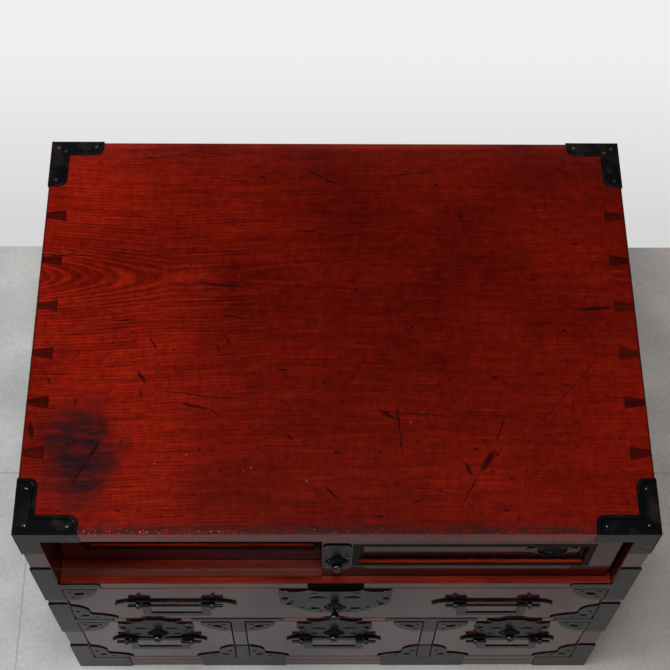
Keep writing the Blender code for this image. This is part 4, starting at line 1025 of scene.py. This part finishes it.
def post_iron(name, sign, arm_low, arm_high):
    """An iron bent round a front post, with an arm along a rail, in the place of the CAD one."""
    low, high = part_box(name)
    x_out = sign * max(abs(low.x), abs(high.x))
    arm = high.x - low.x
    reach = high.y - low.y
    corners = [
        (0, low.z, 0), (POST, low.z, 0), (POST, arm_low, 0), (arm - ARM_ROUND, arm_low, 0.41),
        (arm, arm_low + ARM_ROUND, 0), (arm, arm_high - ARM_ROUND, 0.41), (arm - ARM_ROUND, arm_high, 0),
        (POST, arm_high, 0), (POST, high.z, 0), (0, high.z, 0),
    ]
    if arm_low <= low.z:
        corners = [(0, low.z, 0), (arm, low.z, 0)] + corners[5:]
    loop = [Vector((-sign * p.x, p.y)) for p in outline(corners)]
    front = plate([loop], SHEET, on_face("front", (x_out, SEATED, 0)))
    flank = outline([
        (0, low.z, 0), (reach, low.z + 0.003, 0), (reach, high.z - 0.003, 0.1), (0, high.z, 0),
    ])
    flank = [Vector((sign * p.x, p.y)) for p in flank]
    side_name = "right" if sign > 0 else "left"
    place = on_face(side_name, (x_out - sign * (SKIN_SHEET + NAIL_RISE), low.y, 0))
    piece(name + "_forged", [front, plate([flank], SKIN_SHEET, place, 0.0001)], iron, "chest", name)
    middle = (arm_low + arm_high) / 2
    spots = [(0.0115, high.z - 0.010), (arm - 0.009, middle), (0.0115, middle)]
    if low.z > 0.01:
        spots.append((0.0115, low.z + 0.010))
    nail("chest", "front", *[(x_out - sign * x, SEATED - SHEET, z) for x, z in spots])
    heights = (low.z + 0.012, middle, high.z - 0.012)
    side_x = x_out - sign * NAIL_RISE
    nail("chest", side_name, *[(side_x, low.y + y, z) for y in (0.010, 0.032) for z in heights])


for side, sign in (("left", -1), ("right", 1)):
    post_iron(side + "_sill_iron", sign, SILL_LOW.z + 0.0003, SILL_HIGH.z - 0.0003)
    post_iron(side + "_rail_iron", sign, RAIL_LOW.z + 0.0003, RAIL_HIGH.z - 0.0003)
    post_iron(side + "_base_iron", sign, 0.0003, BASE_TOP - 0.0003)
print("Post irons: 6")

# %% Tee irons on the dividers
TEE_ARM = 0.049
TEE_DROP = 0.140
TEE_RISE = 0.085
TEE_ROUND = 0.006
TEE_SHEET = 0.0006

for side in ("left", "right"):
    low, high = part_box(side + "_divider")
    middle = (low.x + high.x) / 2
    half = (high.x - low.x) / 2 - 0.0004
    eave, roof = RAIL_LOW.z + 0.0005, RAIL_HIGH.z - 0.0005
    upper = both_halves([
        (0, TEE_DROP, 0), (half, TEE_DROP, 0), (half, eave, 0), (TEE_ARM, eave, 0.3), (TEE_ARM, roof, 0), (0, roof, 0),
    ])
    shelf = BASE_TOP - 0.0005
    lower = both_halves([
        (0, 0.0005, 0), (TEE_ARM, 0.0005, 0), (TEE_ARM, shelf - TEE_ROUND, 0.41), (TEE_ARM - TEE_ROUND, shelf, 0),
        (half, shelf, 0), (half, TEE_RISE, 0), (0, TEE_RISE, 0),
    ])
    place = on_face("front", (middle, SEATED, 0))
    piece(side + "_upper_tee_iron", [plate([upper], TEE_SHEET, place, 0.0002)], iron, "chest")
    piece(side + "_lower_tee_iron", [plate([lower], TEE_SHEET, place, 0.0002)], iron, "chest")
    spots = [(0, 0.149), (0, 0.1845), (-0.041, 0.1845), (0.041, 0.1845), (0, 0.075), (-0.040, 0.020), (0.040, 0.020)]
    nail("chest", "front", *[(middle + x, SEATED - TEE_SHEET, z) for x, z in spots])
print("Tee irons: 4")

# %% [markdown]
# ## Irons on the drawers
# Each drawer front has pierced irons in its corners, a quarter round above and a cloud with a cusp below, so that
# the closed drawers and the irons of the carcass read as one drawing.

# %% Drawer corner irons
CLOUD_WIDTH = 0.045
CLOUD_HEIGHT = 0.046
CORNER_GAP = 0.0004
GROUND_SHEET = 0.0010
GROUND_SHARE = 0.95
GROUNDS = {}


def cloud_corner(width, height):
    """A low corner iron: a round shoulder by the upright edge, a cusp, and a long flat swell."""
    return outline([
        (0, 0, 0), (width, 0, 0.25), (0.96 * width, 0.15 * height, 0.12), (0.42 * width, 0.36 * height, 0),
        (0.38 * width, 0.46 * height, 0.38), (0.10 * width, 0.96 * height, 0.1), (0, height, 0),
    ])


def quarter_corner(size):
    """A high corner iron: a quarter round of three lobes."""
    return outline([
        (0, 0, 0), (0, -size, 0.25), (0.50 * size, -0.84 * size, 0.3), (0.84 * size, -0.50 * size, 0.25),
        (size, 0, 0),
    ])


def ground(body, loop, place):
    """Notes a thin black sheet that lies under a pierced plate and shows through its holes: dirt-blackened wood with
    painted shade.
    """
    GROUNDS.setdefault(body, []).append(plate([loop], GROUND_SHEET, place, GROUND_SHEET / 4))


def drawer_irons(name, size):
    low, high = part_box(name + "_front")
    cloud = [
        cloud_corner(CLOUD_WIDTH, CLOUD_HEIGHT), moved(bean(0.0048), 0.0110, 0.0130, 0.3),
        moved(dot(0.0016), 0.0230, 0.0075), moved(leaf(0.0020), 0.0050, 0.0270),
    ]
    quarter = [
        quarter_corner(size), moved(bean(0.0062), 0.44 * size, -0.40 * size, 0.5),
        moved(dot(0.0018), 0.72 * size, -0.20 * size), moved(dot(0.0018), 0.20 * size, -0.72 * size),
        moved(comma(0.0030), 0.18 * size, -0.22 * size, 2.4),
    ]
    meshes = []
    for x, flip in ((low.x + CORNER_GAP, 1), (high.x - CORNER_GAP, -1)):
        for loops, z in ((cloud, low.z + CORNER_GAP), (quarter, high.z - CORNER_GAP)):
            flipped = [[Vector((flip * p.x, p.y)) for p in loop] for loop in loops]
            meshes.append(plate(flipped, SHEET, on_face("front", (x, SEATED, z))))
            inside = [Vector((p.x * GROUND_SHARE + flip * 0.0005, p.y * GROUND_SHARE)) for p in flipped[0]]
            ground(name, inside, on_face("front", (x, SEATED, z)))
        spots = [(0.030, low.z + 0.005), (0.005, low.z + 0.037), (0.026, high.z - 0.004), (0.004, high.z - 0.026)]
        nail(name, "front", *[(x + flip * across, SEATED - SHEET, z) for across, z in spots])
    piece(name + "_corner_irons", meshes, iron, name)


for name, size in (("wide_drawer", 0.034), ("left_drawer", 0.032), ("middle_drawer", 0.032), ("right_drawer", 0.032)):
    drawer_irons(name, size)
print("Drawer corner irons: 16 on 4 drawers")

# %% [markdown]
# ## Locks
# Each lock has a scalloped plate pierced with leaves, dots and gulls, a rosette of four petals, and a push
# button that ends in a ball. A hooded strike plate on the rail above takes the bolt.

# %% Lock plates
WIDE_LOCK_WIDTH = 0.117
SMALL_LOCK_WIDTH = 0.082
BUTTON_BORE = 0.0054
PETAL_DEPTH = 0.0034
ROSETTE_STEPS = 48
WIDE_LOCK_HALF = [
    (0.00, -1.00, 0.05), (0.22, -0.985, 0.25), (0.52, -0.905, 0.35), (0.64, -0.80, 0.30), (0.78, -0.70, 0.30),
    (0.915, -0.64, 0.35), (0.96, -0.42, 0.20), (1.00, -0.23, 0.10), (0.985, -0.012, -0.50), (0.46, 0.00, 0.00),
    (0.00, 0.00, 0.00),
]
SMALL_LOCK_HALF = [
    (0.00, -1.00, 0.15), (0.36, -0.92, 0.40), (0.68, -0.77, 0.40), (0.88, -0.57, 0.35), (1.00, -0.30, 0.10),
    (0.98, -0.03, -0.40), (0.48, 0.00, 0.00), (0.00, 0.00, 0.00),
]
WIDE_HOLES = [
    (leaf, 0.0034, 0.0527, -0.0290, 0.2), (dot, 0.0019, 0.0446, -0.0393, 0), (leaf, 0.0031, 0.0485, -0.0468, 0.2),
    (dot, 0.0021, 0.0352, -0.0590, 0), (bean, 0.0056, 0.0214, -0.0625, 0), (dot, 0.0016, 0.0292, -0.0672, 0),
    (dot, 0.0018, 0.0146, -0.0715, 0), (gull, 0.0092, 0.0178, -0.0288, 0), (gull, 0.0040, 0.0220, -0.0130, 0),
]
SMALL_HOLES = [
    (leaf, 0.0034, 0.0360, -0.0185, 0), (dot, 0.0018, 0.0324, -0.0305, 0), (bean, 0.0042, 0.0215, -0.0415, 0.2),
    (gull, 0.0074, 0.0168, -0.0240, 0),
]


def rosette(place):
    """Four petals round a collar, bored for the button, from (radius, share of a petal, height)."""
    levels = [
        (0.0120, 1.0, 0.0000), (0.0119, 1.0, 0.0018), (0.0112, 0.9, 0.0028), (0.0096, 0.7, 0.0034),
        (0.0084, 0.2, 0.0030), (0.0080, 0.0, 0.0034), (0.0077, 0.0, 0.0043), (0.0068, 0.0, 0.0049),
        (0.0060, 0.0, 0.0049), (BUTTON_BORE, 0.0, 0.0045), (BUTTON_BORE, 0.0, 0.0000),
    ]
    rings = []
    for radius, petal, height in levels:
        ring = []
        for step in range(ROSETTE_STEPS):
            turn = math.tau * step / ROSETTE_STEPS
            reach = radius - petal * PETAL_DEPTH / 2 * (1 - math.cos(4 * turn))
            ring.append((reach * math.cos(turn), reach * math.sin(turn), height))
        rings.append(ring)
    return loft(rings, place)


def middle_of(name):
    low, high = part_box(name)
    return (low + high) / 2


def drawer_lock(name, body, half, width, holes, metal):
    """A pierced lock plate and its rosette in the place of the CAD plate."""
    low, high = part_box(name + "_plate")
    button = middle_of(name + "_button")
    tall = high.z - low.z
    loops = [both_halves([(across * width / 2, up * tall, swell) for across, up, swell in half])]
    loops.append(moved(dot(BUTTON_BORE + 0.001), 0, button.z - high.z))
    for shape, size, across, up, turn in holes:
        loops += [moved(shape(size), flip * across, up, turn, flip) for flip in (1, -1)]
    place = on_face("front", (button.x, SEATED, high.z))
    meshes = [plate(loops, SHEET, place)]
    straight = [(across, up, max(swell, 0.0)) for across, up, swell in half if across != half[-2][0]]
    backing = both_halves([
        (GROUND_SHARE * across * width / 2, (up - 0.4 * (1 - GROUND_SHARE) * (1 + 2 * up)) * tall, swell)
        for across, up, swell in straight
    ])
    ground(body, backing, place)
    meshes.append(rosette(on_face("front", (button.x, SEATED, button.z))))
    piece(name + "_pierced", meshes, metal, body, name + "_plate")
    spots = [(flip * 0.44 * width, high.z - 0.005) for flip in (1, -1)] + [(0.012, high.z - 0.006)]
    nail(body, "front", *[(button.x + across, SEATED - SHEET, z) for across, z in spots])


drawer_lock("wide_lock", "wide_drawer", WIDE_LOCK_HALF, WIDE_LOCK_WIDTH, WIDE_HOLES, iron)
for bay in ("left", "middle", "right"):
    drawer_lock(bay + "_lock", bay + "_drawer", SMALL_LOCK_HALF, SMALL_LOCK_WIDTH, SMALL_HOLES, shaded_iron)

DOOR_CLIP = 0.005
DOOR_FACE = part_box("right_door_frame")[0].y
low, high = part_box("door_lock_plate")
button = middle_of("door_lock_button")
wide = (high.x - low.x) / 2
drop, rise = low.z - button.z, high.z - button.z
loops = [both_halves([
    (0, drop, 0), (wide - DOOR_CLIP, drop, 0.2), (wide, drop + DOOR_CLIP, 0), (wide, rise - DOOR_CLIP, 0.2),
    (wide - DOOR_CLIP, rise, 0), (0, rise, 0),
]), dot(BUTTON_BORE + 0.001)]
for across, up in ((0.0096, 0.0215), (0.0074, 0.0155), (0.0114, 0.0163)):
    loops.append(moved(dot(0.0014), across, up))
place = on_face("front", (button.x, DOOR_FACE - 0.0001, button.z))
piece("door_lock_pierced", [plate(loops, SHEET, place), rosette(place)], shaded_iron, "right_door", "door_lock_plate")
ground("right_door", oblong((0.005, 0.010), (0.0133, 0.026)), place)
nail("right_door", "front", *[
    (button.x + x, DOOR_FACE - 0.0001 - SHEET, z) for x in (-0.010, 0.010) for z in (low.z + 0.006, high.z - 0.006)
])
for body, meshes in GROUNDS.items():
    piece(body + "_plate_ground", meshes, black_for_shade_and_dirt, body)
print("Lock plates: 5")

# %% Push buttons
polished_iron = black_iron("polished_black_iron", "050506", "0A0908", 0.03, 1.48)


def ball_button(name, body, face):
    """A push button: a stem, a groove and a ball, turned about the line of its travel."""
    low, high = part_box(name)
    radius = (high.x - low.x) / 2
    reach, tail = face - low.y, face - high.y
    stem = [
        (0.0, tail), (radius, tail), (radius, reach - 2.5 * radius), (0.82 * radius, reach - 2.1 * radius),
        (0.70 * radius, reach - 1.9 * radius),
    ]
    turns = [math.pi * (0.72 - 0.09 * step) for step in range(9)]
    ball = [(radius * math.sin(turn), reach - radius + radius * math.cos(turn)) for turn in turns[:-1]]
    middle = middle_of(name)
    place = on_face("front", (middle.x, face, middle.z))
    piece(name + "_turned", [turned(stem + ball + [(0.0, reach)], place)], polished_iron, body, name)


for bay in ("wide", "left", "middle", "right"):
    ball_button(bay + "_lock_button", bay + "_button", FRONT)
ball_button("door_lock_button", "door_button", DOOR_FACE)
print("Push buttons: 5")

# %% Strike hoods on the rails above the drawers
HOOD_STEPS = 24


def hood(name, x, low, high, half, reach):
    """A strike plate that flares out like an eyelid towards its lower edge, in the near-black iron: its black is
    painted shade.
    """
    rings = []
    for step in range(HOOD_STEPS + 1):
        across = -1 + 2 * step / HOOD_STEPS
        lid = reach * math.sqrt(max(0.0, 1 - across ** 4)) + 0.0008
        tall = high - low
        profile = [(0.0, high), (0.0010, high), (0.0012, high - 0.30 * tall), (0.35 * lid + 0.0007, high - 0.55 * tall),
                   (0.75 * lid + 0.0003, high - 0.78 * tall), (lid, low + 0.10 * tall), (lid, low), (0.0, low)]
        rings.append([(half * across, z, out) for out, z in profile])
    piece(name, [loft(rings, on_face("front", (x, SEATED, 0)), True)], black_for_shade_and_dirt, "chest")


def arched_strike(name, x, low, high):
    """A thick strike plate with a humped back and a low shoulder and a scroll at each end."""
    back = both_halves([
        (0, low, 0), (0.026, low, 0), (0.026, low + 0.0030, 0.3), (0.0195, low + 0.0042, -0.25), (0.0125, high - 0.002, 0.25),
        (0, high, 0),
    ])
    meshes = [plate([back], 0.0024, on_face("front", (x, SEATED, 0)))]
    for flip in (1, -1):
        spot = on_face("front", (x + flip * 0.0275, SEATED, low + 0.0045))
        meshes.append(turned([(0.0, 0.0), (0.0030, 0.0), (0.0030, 0.0010), (0.0022, 0.0017), (0.0, 0.0020)], spot))
    piece(name, meshes, shaded_iron, "chest")


hood("wide_strike_hood", 0.0, SILL_LOW.z + 0.0005, SILL_HIGH.z - 0.0005, 0.029, 0.0035)
for bay in ("left", "middle", "right"):
    x = middle_of(bay + "_lock_button").x
    arched_strike(bay + "_strike", x, RAIL_LOW.z + 0.0005, RAIL_HIGH.z - 0.0008)
print("Strike hoods: 4")

# %% [markdown]
# ## Handles
# A handle is a back bar with a curled horn at each end, two eye posts through the drawer front, and a flat bail that
# hangs in the eyes by two round rods. Bar and bail are cut as plates, eyes and rods are turned.

# %% Handles
BAR_HEIGHT = 0.008
BAR_THICK = 0.002
EYE_RADIUS = 0.0042
EYE_BORE = 0.00205
EYE_LENGTH = 0.005
ROD_RADIUS = 0.00175
ROD_TAIL = 0.011
BAIL_STRIP = 0.0095
BAIL_THICK = 0.0022
BAIL_ROUND = 0.0024
HORN_CURL = 0.0066
HORN_TIP = 0.0012
FOOT_HALF = 0.0105
FOOT_DROP = 0.0055
FOOT_RISE = 0.0085
FOOT_CLIP = 0.0025
FOOT_SHEET = 0.0006
EYE_STEPS = 14
SEAT = 0.0003


def handle(name, drawer, body, spacing, horn, fall):
    """The mount and the bail of one handle in the place of the CAD ones."""
    low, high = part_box(name + "_mount")
    bail_low, bail_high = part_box(name + "_bail")
    x = (low.x + high.x) / 2
    pivot = Vector((x, (bail_low.y + bail_high.y) / 2, bail_low.z + fall))
    half = spacing / 2
    root, tip = half + EYE_RADIUS, half + horn
    bar = both_halves([
        (0, -BAR_HEIGHT / 2, 0), (root, -BAR_HEIGHT / 2, 0), (root + HORN_TIP, 0, -0.15),
        (tip, -HORN_CURL, 0), (tip + HORN_TIP, -HORN_CURL + HORN_TIP, 0.25), (root + HORN_TIP, BAR_HEIGHT / 2, 0),
        (0, BAR_HEIGHT / 2, 0),
    ])
    mount = [plate([bar], BAR_THICK, on_face("front", (x, FRONT - SEAT, pivot.z)), 0.0005)]
    inner = half - EYE_LENGTH / 2 - SEAT - BAIL_STRIP
    outer = inner + BAIL_STRIP
    strip = both_halves([
        (0, -fall, 0), (outer - BAIL_ROUND, -fall, 0.41), (outer, -fall + BAIL_ROUND, 0),
        (outer, ROD_RADIUS / 2, 0), (inner, ROD_RADIUS / 2, 0), (inner, BAIL_STRIP - fall, 0),
        (0, BAIL_STRIP - fall, 0),
    ])
    bail = [plate([strip], BAIL_THICK, on_face("front", (x, pivot.y + BAIL_THICK / 2, pivot.z)), 0.0004)]
    ring = EYE_LENGTH / 2
    turns = [math.pi * step / EYE_STEPS for step in range(EYE_STEPS + 1)]
    eye = [(EYE_BORE + (EYE_RADIUS - EYE_BORE) * math.sin(turn), -ring * math.cos(turn)) for turn in turns]
    eye.append(eye[0])
    # A flat near-black foot behind each eye: partly the eye's backing plate, partly the painted shade of the post.
    foot = both_halves([
        (0, -FOOT_DROP, 0), (FOOT_HALF, -FOOT_DROP, 0), (FOOT_HALF, FOOT_RISE - FOOT_CLIP, 0.2),
        (FOOT_HALF - FOOT_CLIP, FOOT_RISE, 0), (0, FOOT_RISE, 0),
    ])
    eyes, feet = [], []
    for sign in (1, -1):
        post = x + sign * half
        eyes.append(turned(eye, on_face("right", (post, pivot.y, pivot.z))))
        feet.append(plate([foot], FOOT_SHEET, on_face("front", (post, SEATED, pivot.z)), 0.0001))
        start, end = inner + 0.002, half + ROD_TAIL
        rod = [
            (0.0, start), (ROD_RADIUS, start), (ROD_RADIUS, end - 0.003), (ROD_RADIUS, end - 0.0006),
            (ROD_RADIUS * 0.7, end), (0.0, end),
        ]
        side = on_face("right", pivot) if sign > 0 else on_face("left", pivot)
        bail.append(turned(rod, side, 20))
    piece(name + "_mount_forged", mount, iron, drawer, name + "_mount")
    piece(name + "_eyes", eyes, polished_iron, drawer)
    piece(name + "_feet", feet, black_for_shade_and_dirt, drawer)
    piece(name + "_bail_forged", bail, iron, body, name + "_bail")


for side in ("left", "right"):
    handle("wide_" + side + "_handle", "wide_drawer", "wide_" + side + "_bail", 0.078, 0.024, 0.032)
for bay in ("left", "middle", "right"):
    handle(bay + "_handle", bay + "_drawer", bay + "_bail", 0.073, 0.016, 0.026)
print("Handles: 5")

# %% [markdown]
# ## Doors
# A black bead lies round the front of each door's window and a black fillet holds the panel from inside. Between
# them the red edge of the frame shows as a bright line, painted light where it faces up. Each panel has a winged
# finger pull with a round cup.

# %% Beads and fillets
STEP_WIDTH = 0.007
STEP_DEEP = 0.0012
DOOR_RAIL = 0.029
DOOR_STILE = 0.024
MEETING_STILE = 0.030
DOOR_LOW = SILL_HIGH.z + 0.0008
DOOR_HIGH = TOP_LOW.z - 0.0010
FILLET = 0.0045


def black_lacquer():
    """Black lacquer on a thin moulding: a deep glossy coat with faint dust."""
    material, tree, shader = new_material("black_lacquer_bead", IOR=1.06)
    coords = add_node(tree, "ShaderNodeTexCoord").outputs["Object"]
    dust = add_node(tree, "ShaderNodeTexNoise", {"Vector": coords, "Scale": 1 / 0.006, "Detail": 4.0}).outputs[0]
    tone = add_node(tree, "ShaderNodeValToRGB", {0: dust})
    tone.color_ramp.elements[0].position = 0.45
    tone.color_ramp.elements[0].color = hex_colour("0A0808")
    tone.color_ramp.elements[1].position = 0.75
    tone.color_ramp.elements[1].color = hex_colour("2A1410")
    tree.links.new(tone.outputs[0], shader.inputs["Base Color"])
    rough = add_node(tree, "ShaderNodeMapRange", {0: dust, 3: 0.14, 4: 0.34})
    tree.links.new(rough.outputs[0], shader.inputs["Roughness"])
    return material


bead_black = black_lacquer()
for side, sign in (("left", -1), ("right", 1)):
    low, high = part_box(side + "_door_frame")
    far, near = max(abs(low.x), abs(high.x)), min(abs(low.x), abs(high.x))
    edges = sorted((sign * (far - DOOR_STILE), sign * (MEETING_STILE - near)))
    window = [(edges[0], DOOR_LOW + DOOR_RAIL), (edges[1], DOOR_HIGH - DOOR_RAIL)]

    def inset(by):
        return oblong((window[0][0] + by, window[0][1] + by), (window[1][0] - by, window[1][1] - by))

    place = on_face("front", (0, low.y + STEP_DEEP - 0.0001, 0))
    bead = plate([inset(0.0002), inset(STEP_WIDTH + 0.0002)], STEP_DEEP + 0.0002, place, 0.0004)
    panel_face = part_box(side + "_door_panel")[0].y
    place = on_face("front", (0, panel_face - 0.0001, 0))
    fillet = plate([inset(STEP_WIDTH + 0.0001), inset(STEP_WIDTH + FILLET)], 0.0020, place, 0.0005)
    piece(side + "_door_bead", [bead, fillet], bead_black, side + "_door")
print("Beads on 2 doors")

# %% Finger pulls
PULL_WIDTH = 0.0485
PULL_HEIGHT = 0.034
CUP_RADIUS = 0.0145
CUP_DEPTH = 0.006
CUP_RIM = 0.0165
RIM_RISE = 0.0014
PULL_HALF = [
    (0.00, -1.00, 0.30), (0.42, -0.86, 0.20), (0.62, -0.58, -0.30), (1.00, -0.30, 0.30), (1.00, 0.30, -0.30),
    (0.62, 0.58, 0.20), (0.42, 0.86, 0.30), (0.00, 1.00, 0.0),
]

worn_iron = black_iron("worn_iron", "0E0D0D", "2E251F", 0.14)
for side in ("left", "right"):
    name = side + "_door_pull"
    middle = middle_of(name)
    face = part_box(side + "_door_panel")[0].y
    place = on_face("front", (middle.x, face - 0.0001, middle.z))
    wings = both_halves([(x * PULL_WIDTH / 2, z * PULL_HEIGHT / 2, swell) for x, z, swell in PULL_HALF])
    cup = [(CUP_RIM, 0.0), (CUP_RIM, 0.0008), (CUP_RIM - 0.0006, RIM_RISE - 0.0001), (CUP_RADIUS + 0.0006, RIM_RISE),
           (CUP_RADIUS, 0.0010)]
    turns = [math.pi / 2 * step / 7 for step in range(1, 8)]
    cup += [(CUP_RADIUS * math.cos(turn), -CUP_DEPTH * math.sin(turn)) for turn in turns[:-1]] + [(0.0, -CUP_DEPTH)]
    meshes = [plate([wings, dot(CUP_RADIUS + 0.0008)], 0.0007, place, 0.0002), turned(cup, place, 40)]
    piece(name + "_forged", meshes, worn_iron, side + "_door", name)
print("Finger pulls: 2")

# %% [markdown]
# ## Nails
# Every iron is held by small hand-made nails with domed heads. A Geometry Nodes tree puts one head on each point
# that was noted above, turned to face the way its plate faces and a little larger or smaller than the next.

# %% Nails by Geometry Nodes
NAIL_SIZE = 0.0034
NAIL_SEED = 7

nail_iron = black_iron("hand_worn_nail_iron", "1C1614", "4A3A32", 0.12, 1.7)
heads = bpy.data.node_groups.new("nail_heads", "GeometryNodeTree")
heads.interface.new_socket("Geometry", in_out="INPUT", socket_type="NodeSocketGeometry")
heads.interface.new_socket("Geometry", in_out="OUTPUT", socket_type="NodeSocketGeometry")
size_input = heads.interface.new_socket("Head size", in_out="INPUT", socket_type="NodeSocketFloat")
rise_input = heads.interface.new_socket("Head rise", in_out="INPUT", socket_type="NodeSocketFloat")
seed_input = heads.interface.new_socket("Seed", in_out="INPUT", socket_type="NodeSocketInt")
start = add_node(heads, "NodeGroupInput")
end = add_node(heads, "NodeGroupOutput")
ball = add_node(heads, "GeometryNodeMeshUVSphere", {"Segments": 12, "Rings": 8, "Radius": 1.0})
radius = add_node(heads, "ShaderNodeMath", {0: start.outputs["Head size"], 1: 0.5}, operation="MULTIPLY").outputs[0]
flat = add_node(heads, "ShaderNodeCombineXYZ", {0: radius, 1: radius, 2: start.outputs["Head rise"]}).outputs[0]
head = add_node(heads, "GeometryNodeTransform", {"Geometry": ball.outputs[0], "Scale": flat})
facing = add_node(heads, "GeometryNodeInputNamedAttribute", {"Name": "facing"}, data_type="FLOAT_VECTOR")
turn = add_node(heads, "FunctionNodeAlignRotationToVector", {"Vector": facing.outputs[0]}, axis="Z")
wide = add_node(heads, "FunctionNodeRandomValue", {2: 0.85, 3: 1.1, "Seed": start.outputs["Seed"]}, data_type="FLOAT")
scale = add_node(heads, "ShaderNodeCombineXYZ", {0: wide.outputs[1], 1: wide.outputs[1], 2: 1.0}).outputs[0]
placed = add_node(heads, "GeometryNodeInstanceOnPoints", {
    "Points": start.outputs[0], "Instance": head.outputs[0], "Rotation": turn.outputs[0], "Scale": scale
})
real = add_node(heads, "GeometryNodeRealizeInstances", {0: placed.outputs[0]})
painted = add_node(heads, "GeometryNodeSetMaterial", {0: real.outputs[0], "Material": nail_iron})
heads.links.new(painted.outputs[0], end.inputs[0])

for body, rows in NAILS.items():
    points = bpy.data.meshes.new(body + "_nail_points")
    points.from_pydata([place for place, _ in rows], [], [])
    ways = points.attributes.new("facing", "FLOAT_VECTOR", "POINT")
    for item, (_, way) in zip(ways.data, rows):
        item.vector = way
    holder = bpy.data.objects.new(body + "_nail_points", points)
    bpy.context.scene.collection.objects.link(holder)
    modifier = holder.modifiers.new("heads", "NODES")
    modifier.node_group = heads
    modifier[size_input.identifier] = NAIL_SIZE
    modifier[rise_input.identifier] = NAIL_RISE
    modifier[seed_input.identifier] = NAIL_SEED
    graph = bpy.context.evaluated_depsgraph_get()
    mesh = bpy.data.meshes.new_from_object(holder.evaluated_get(graph))
    bpy.data.objects.remove(holder)
    piece(body + "_nails", [mesh], nail_iron, body)
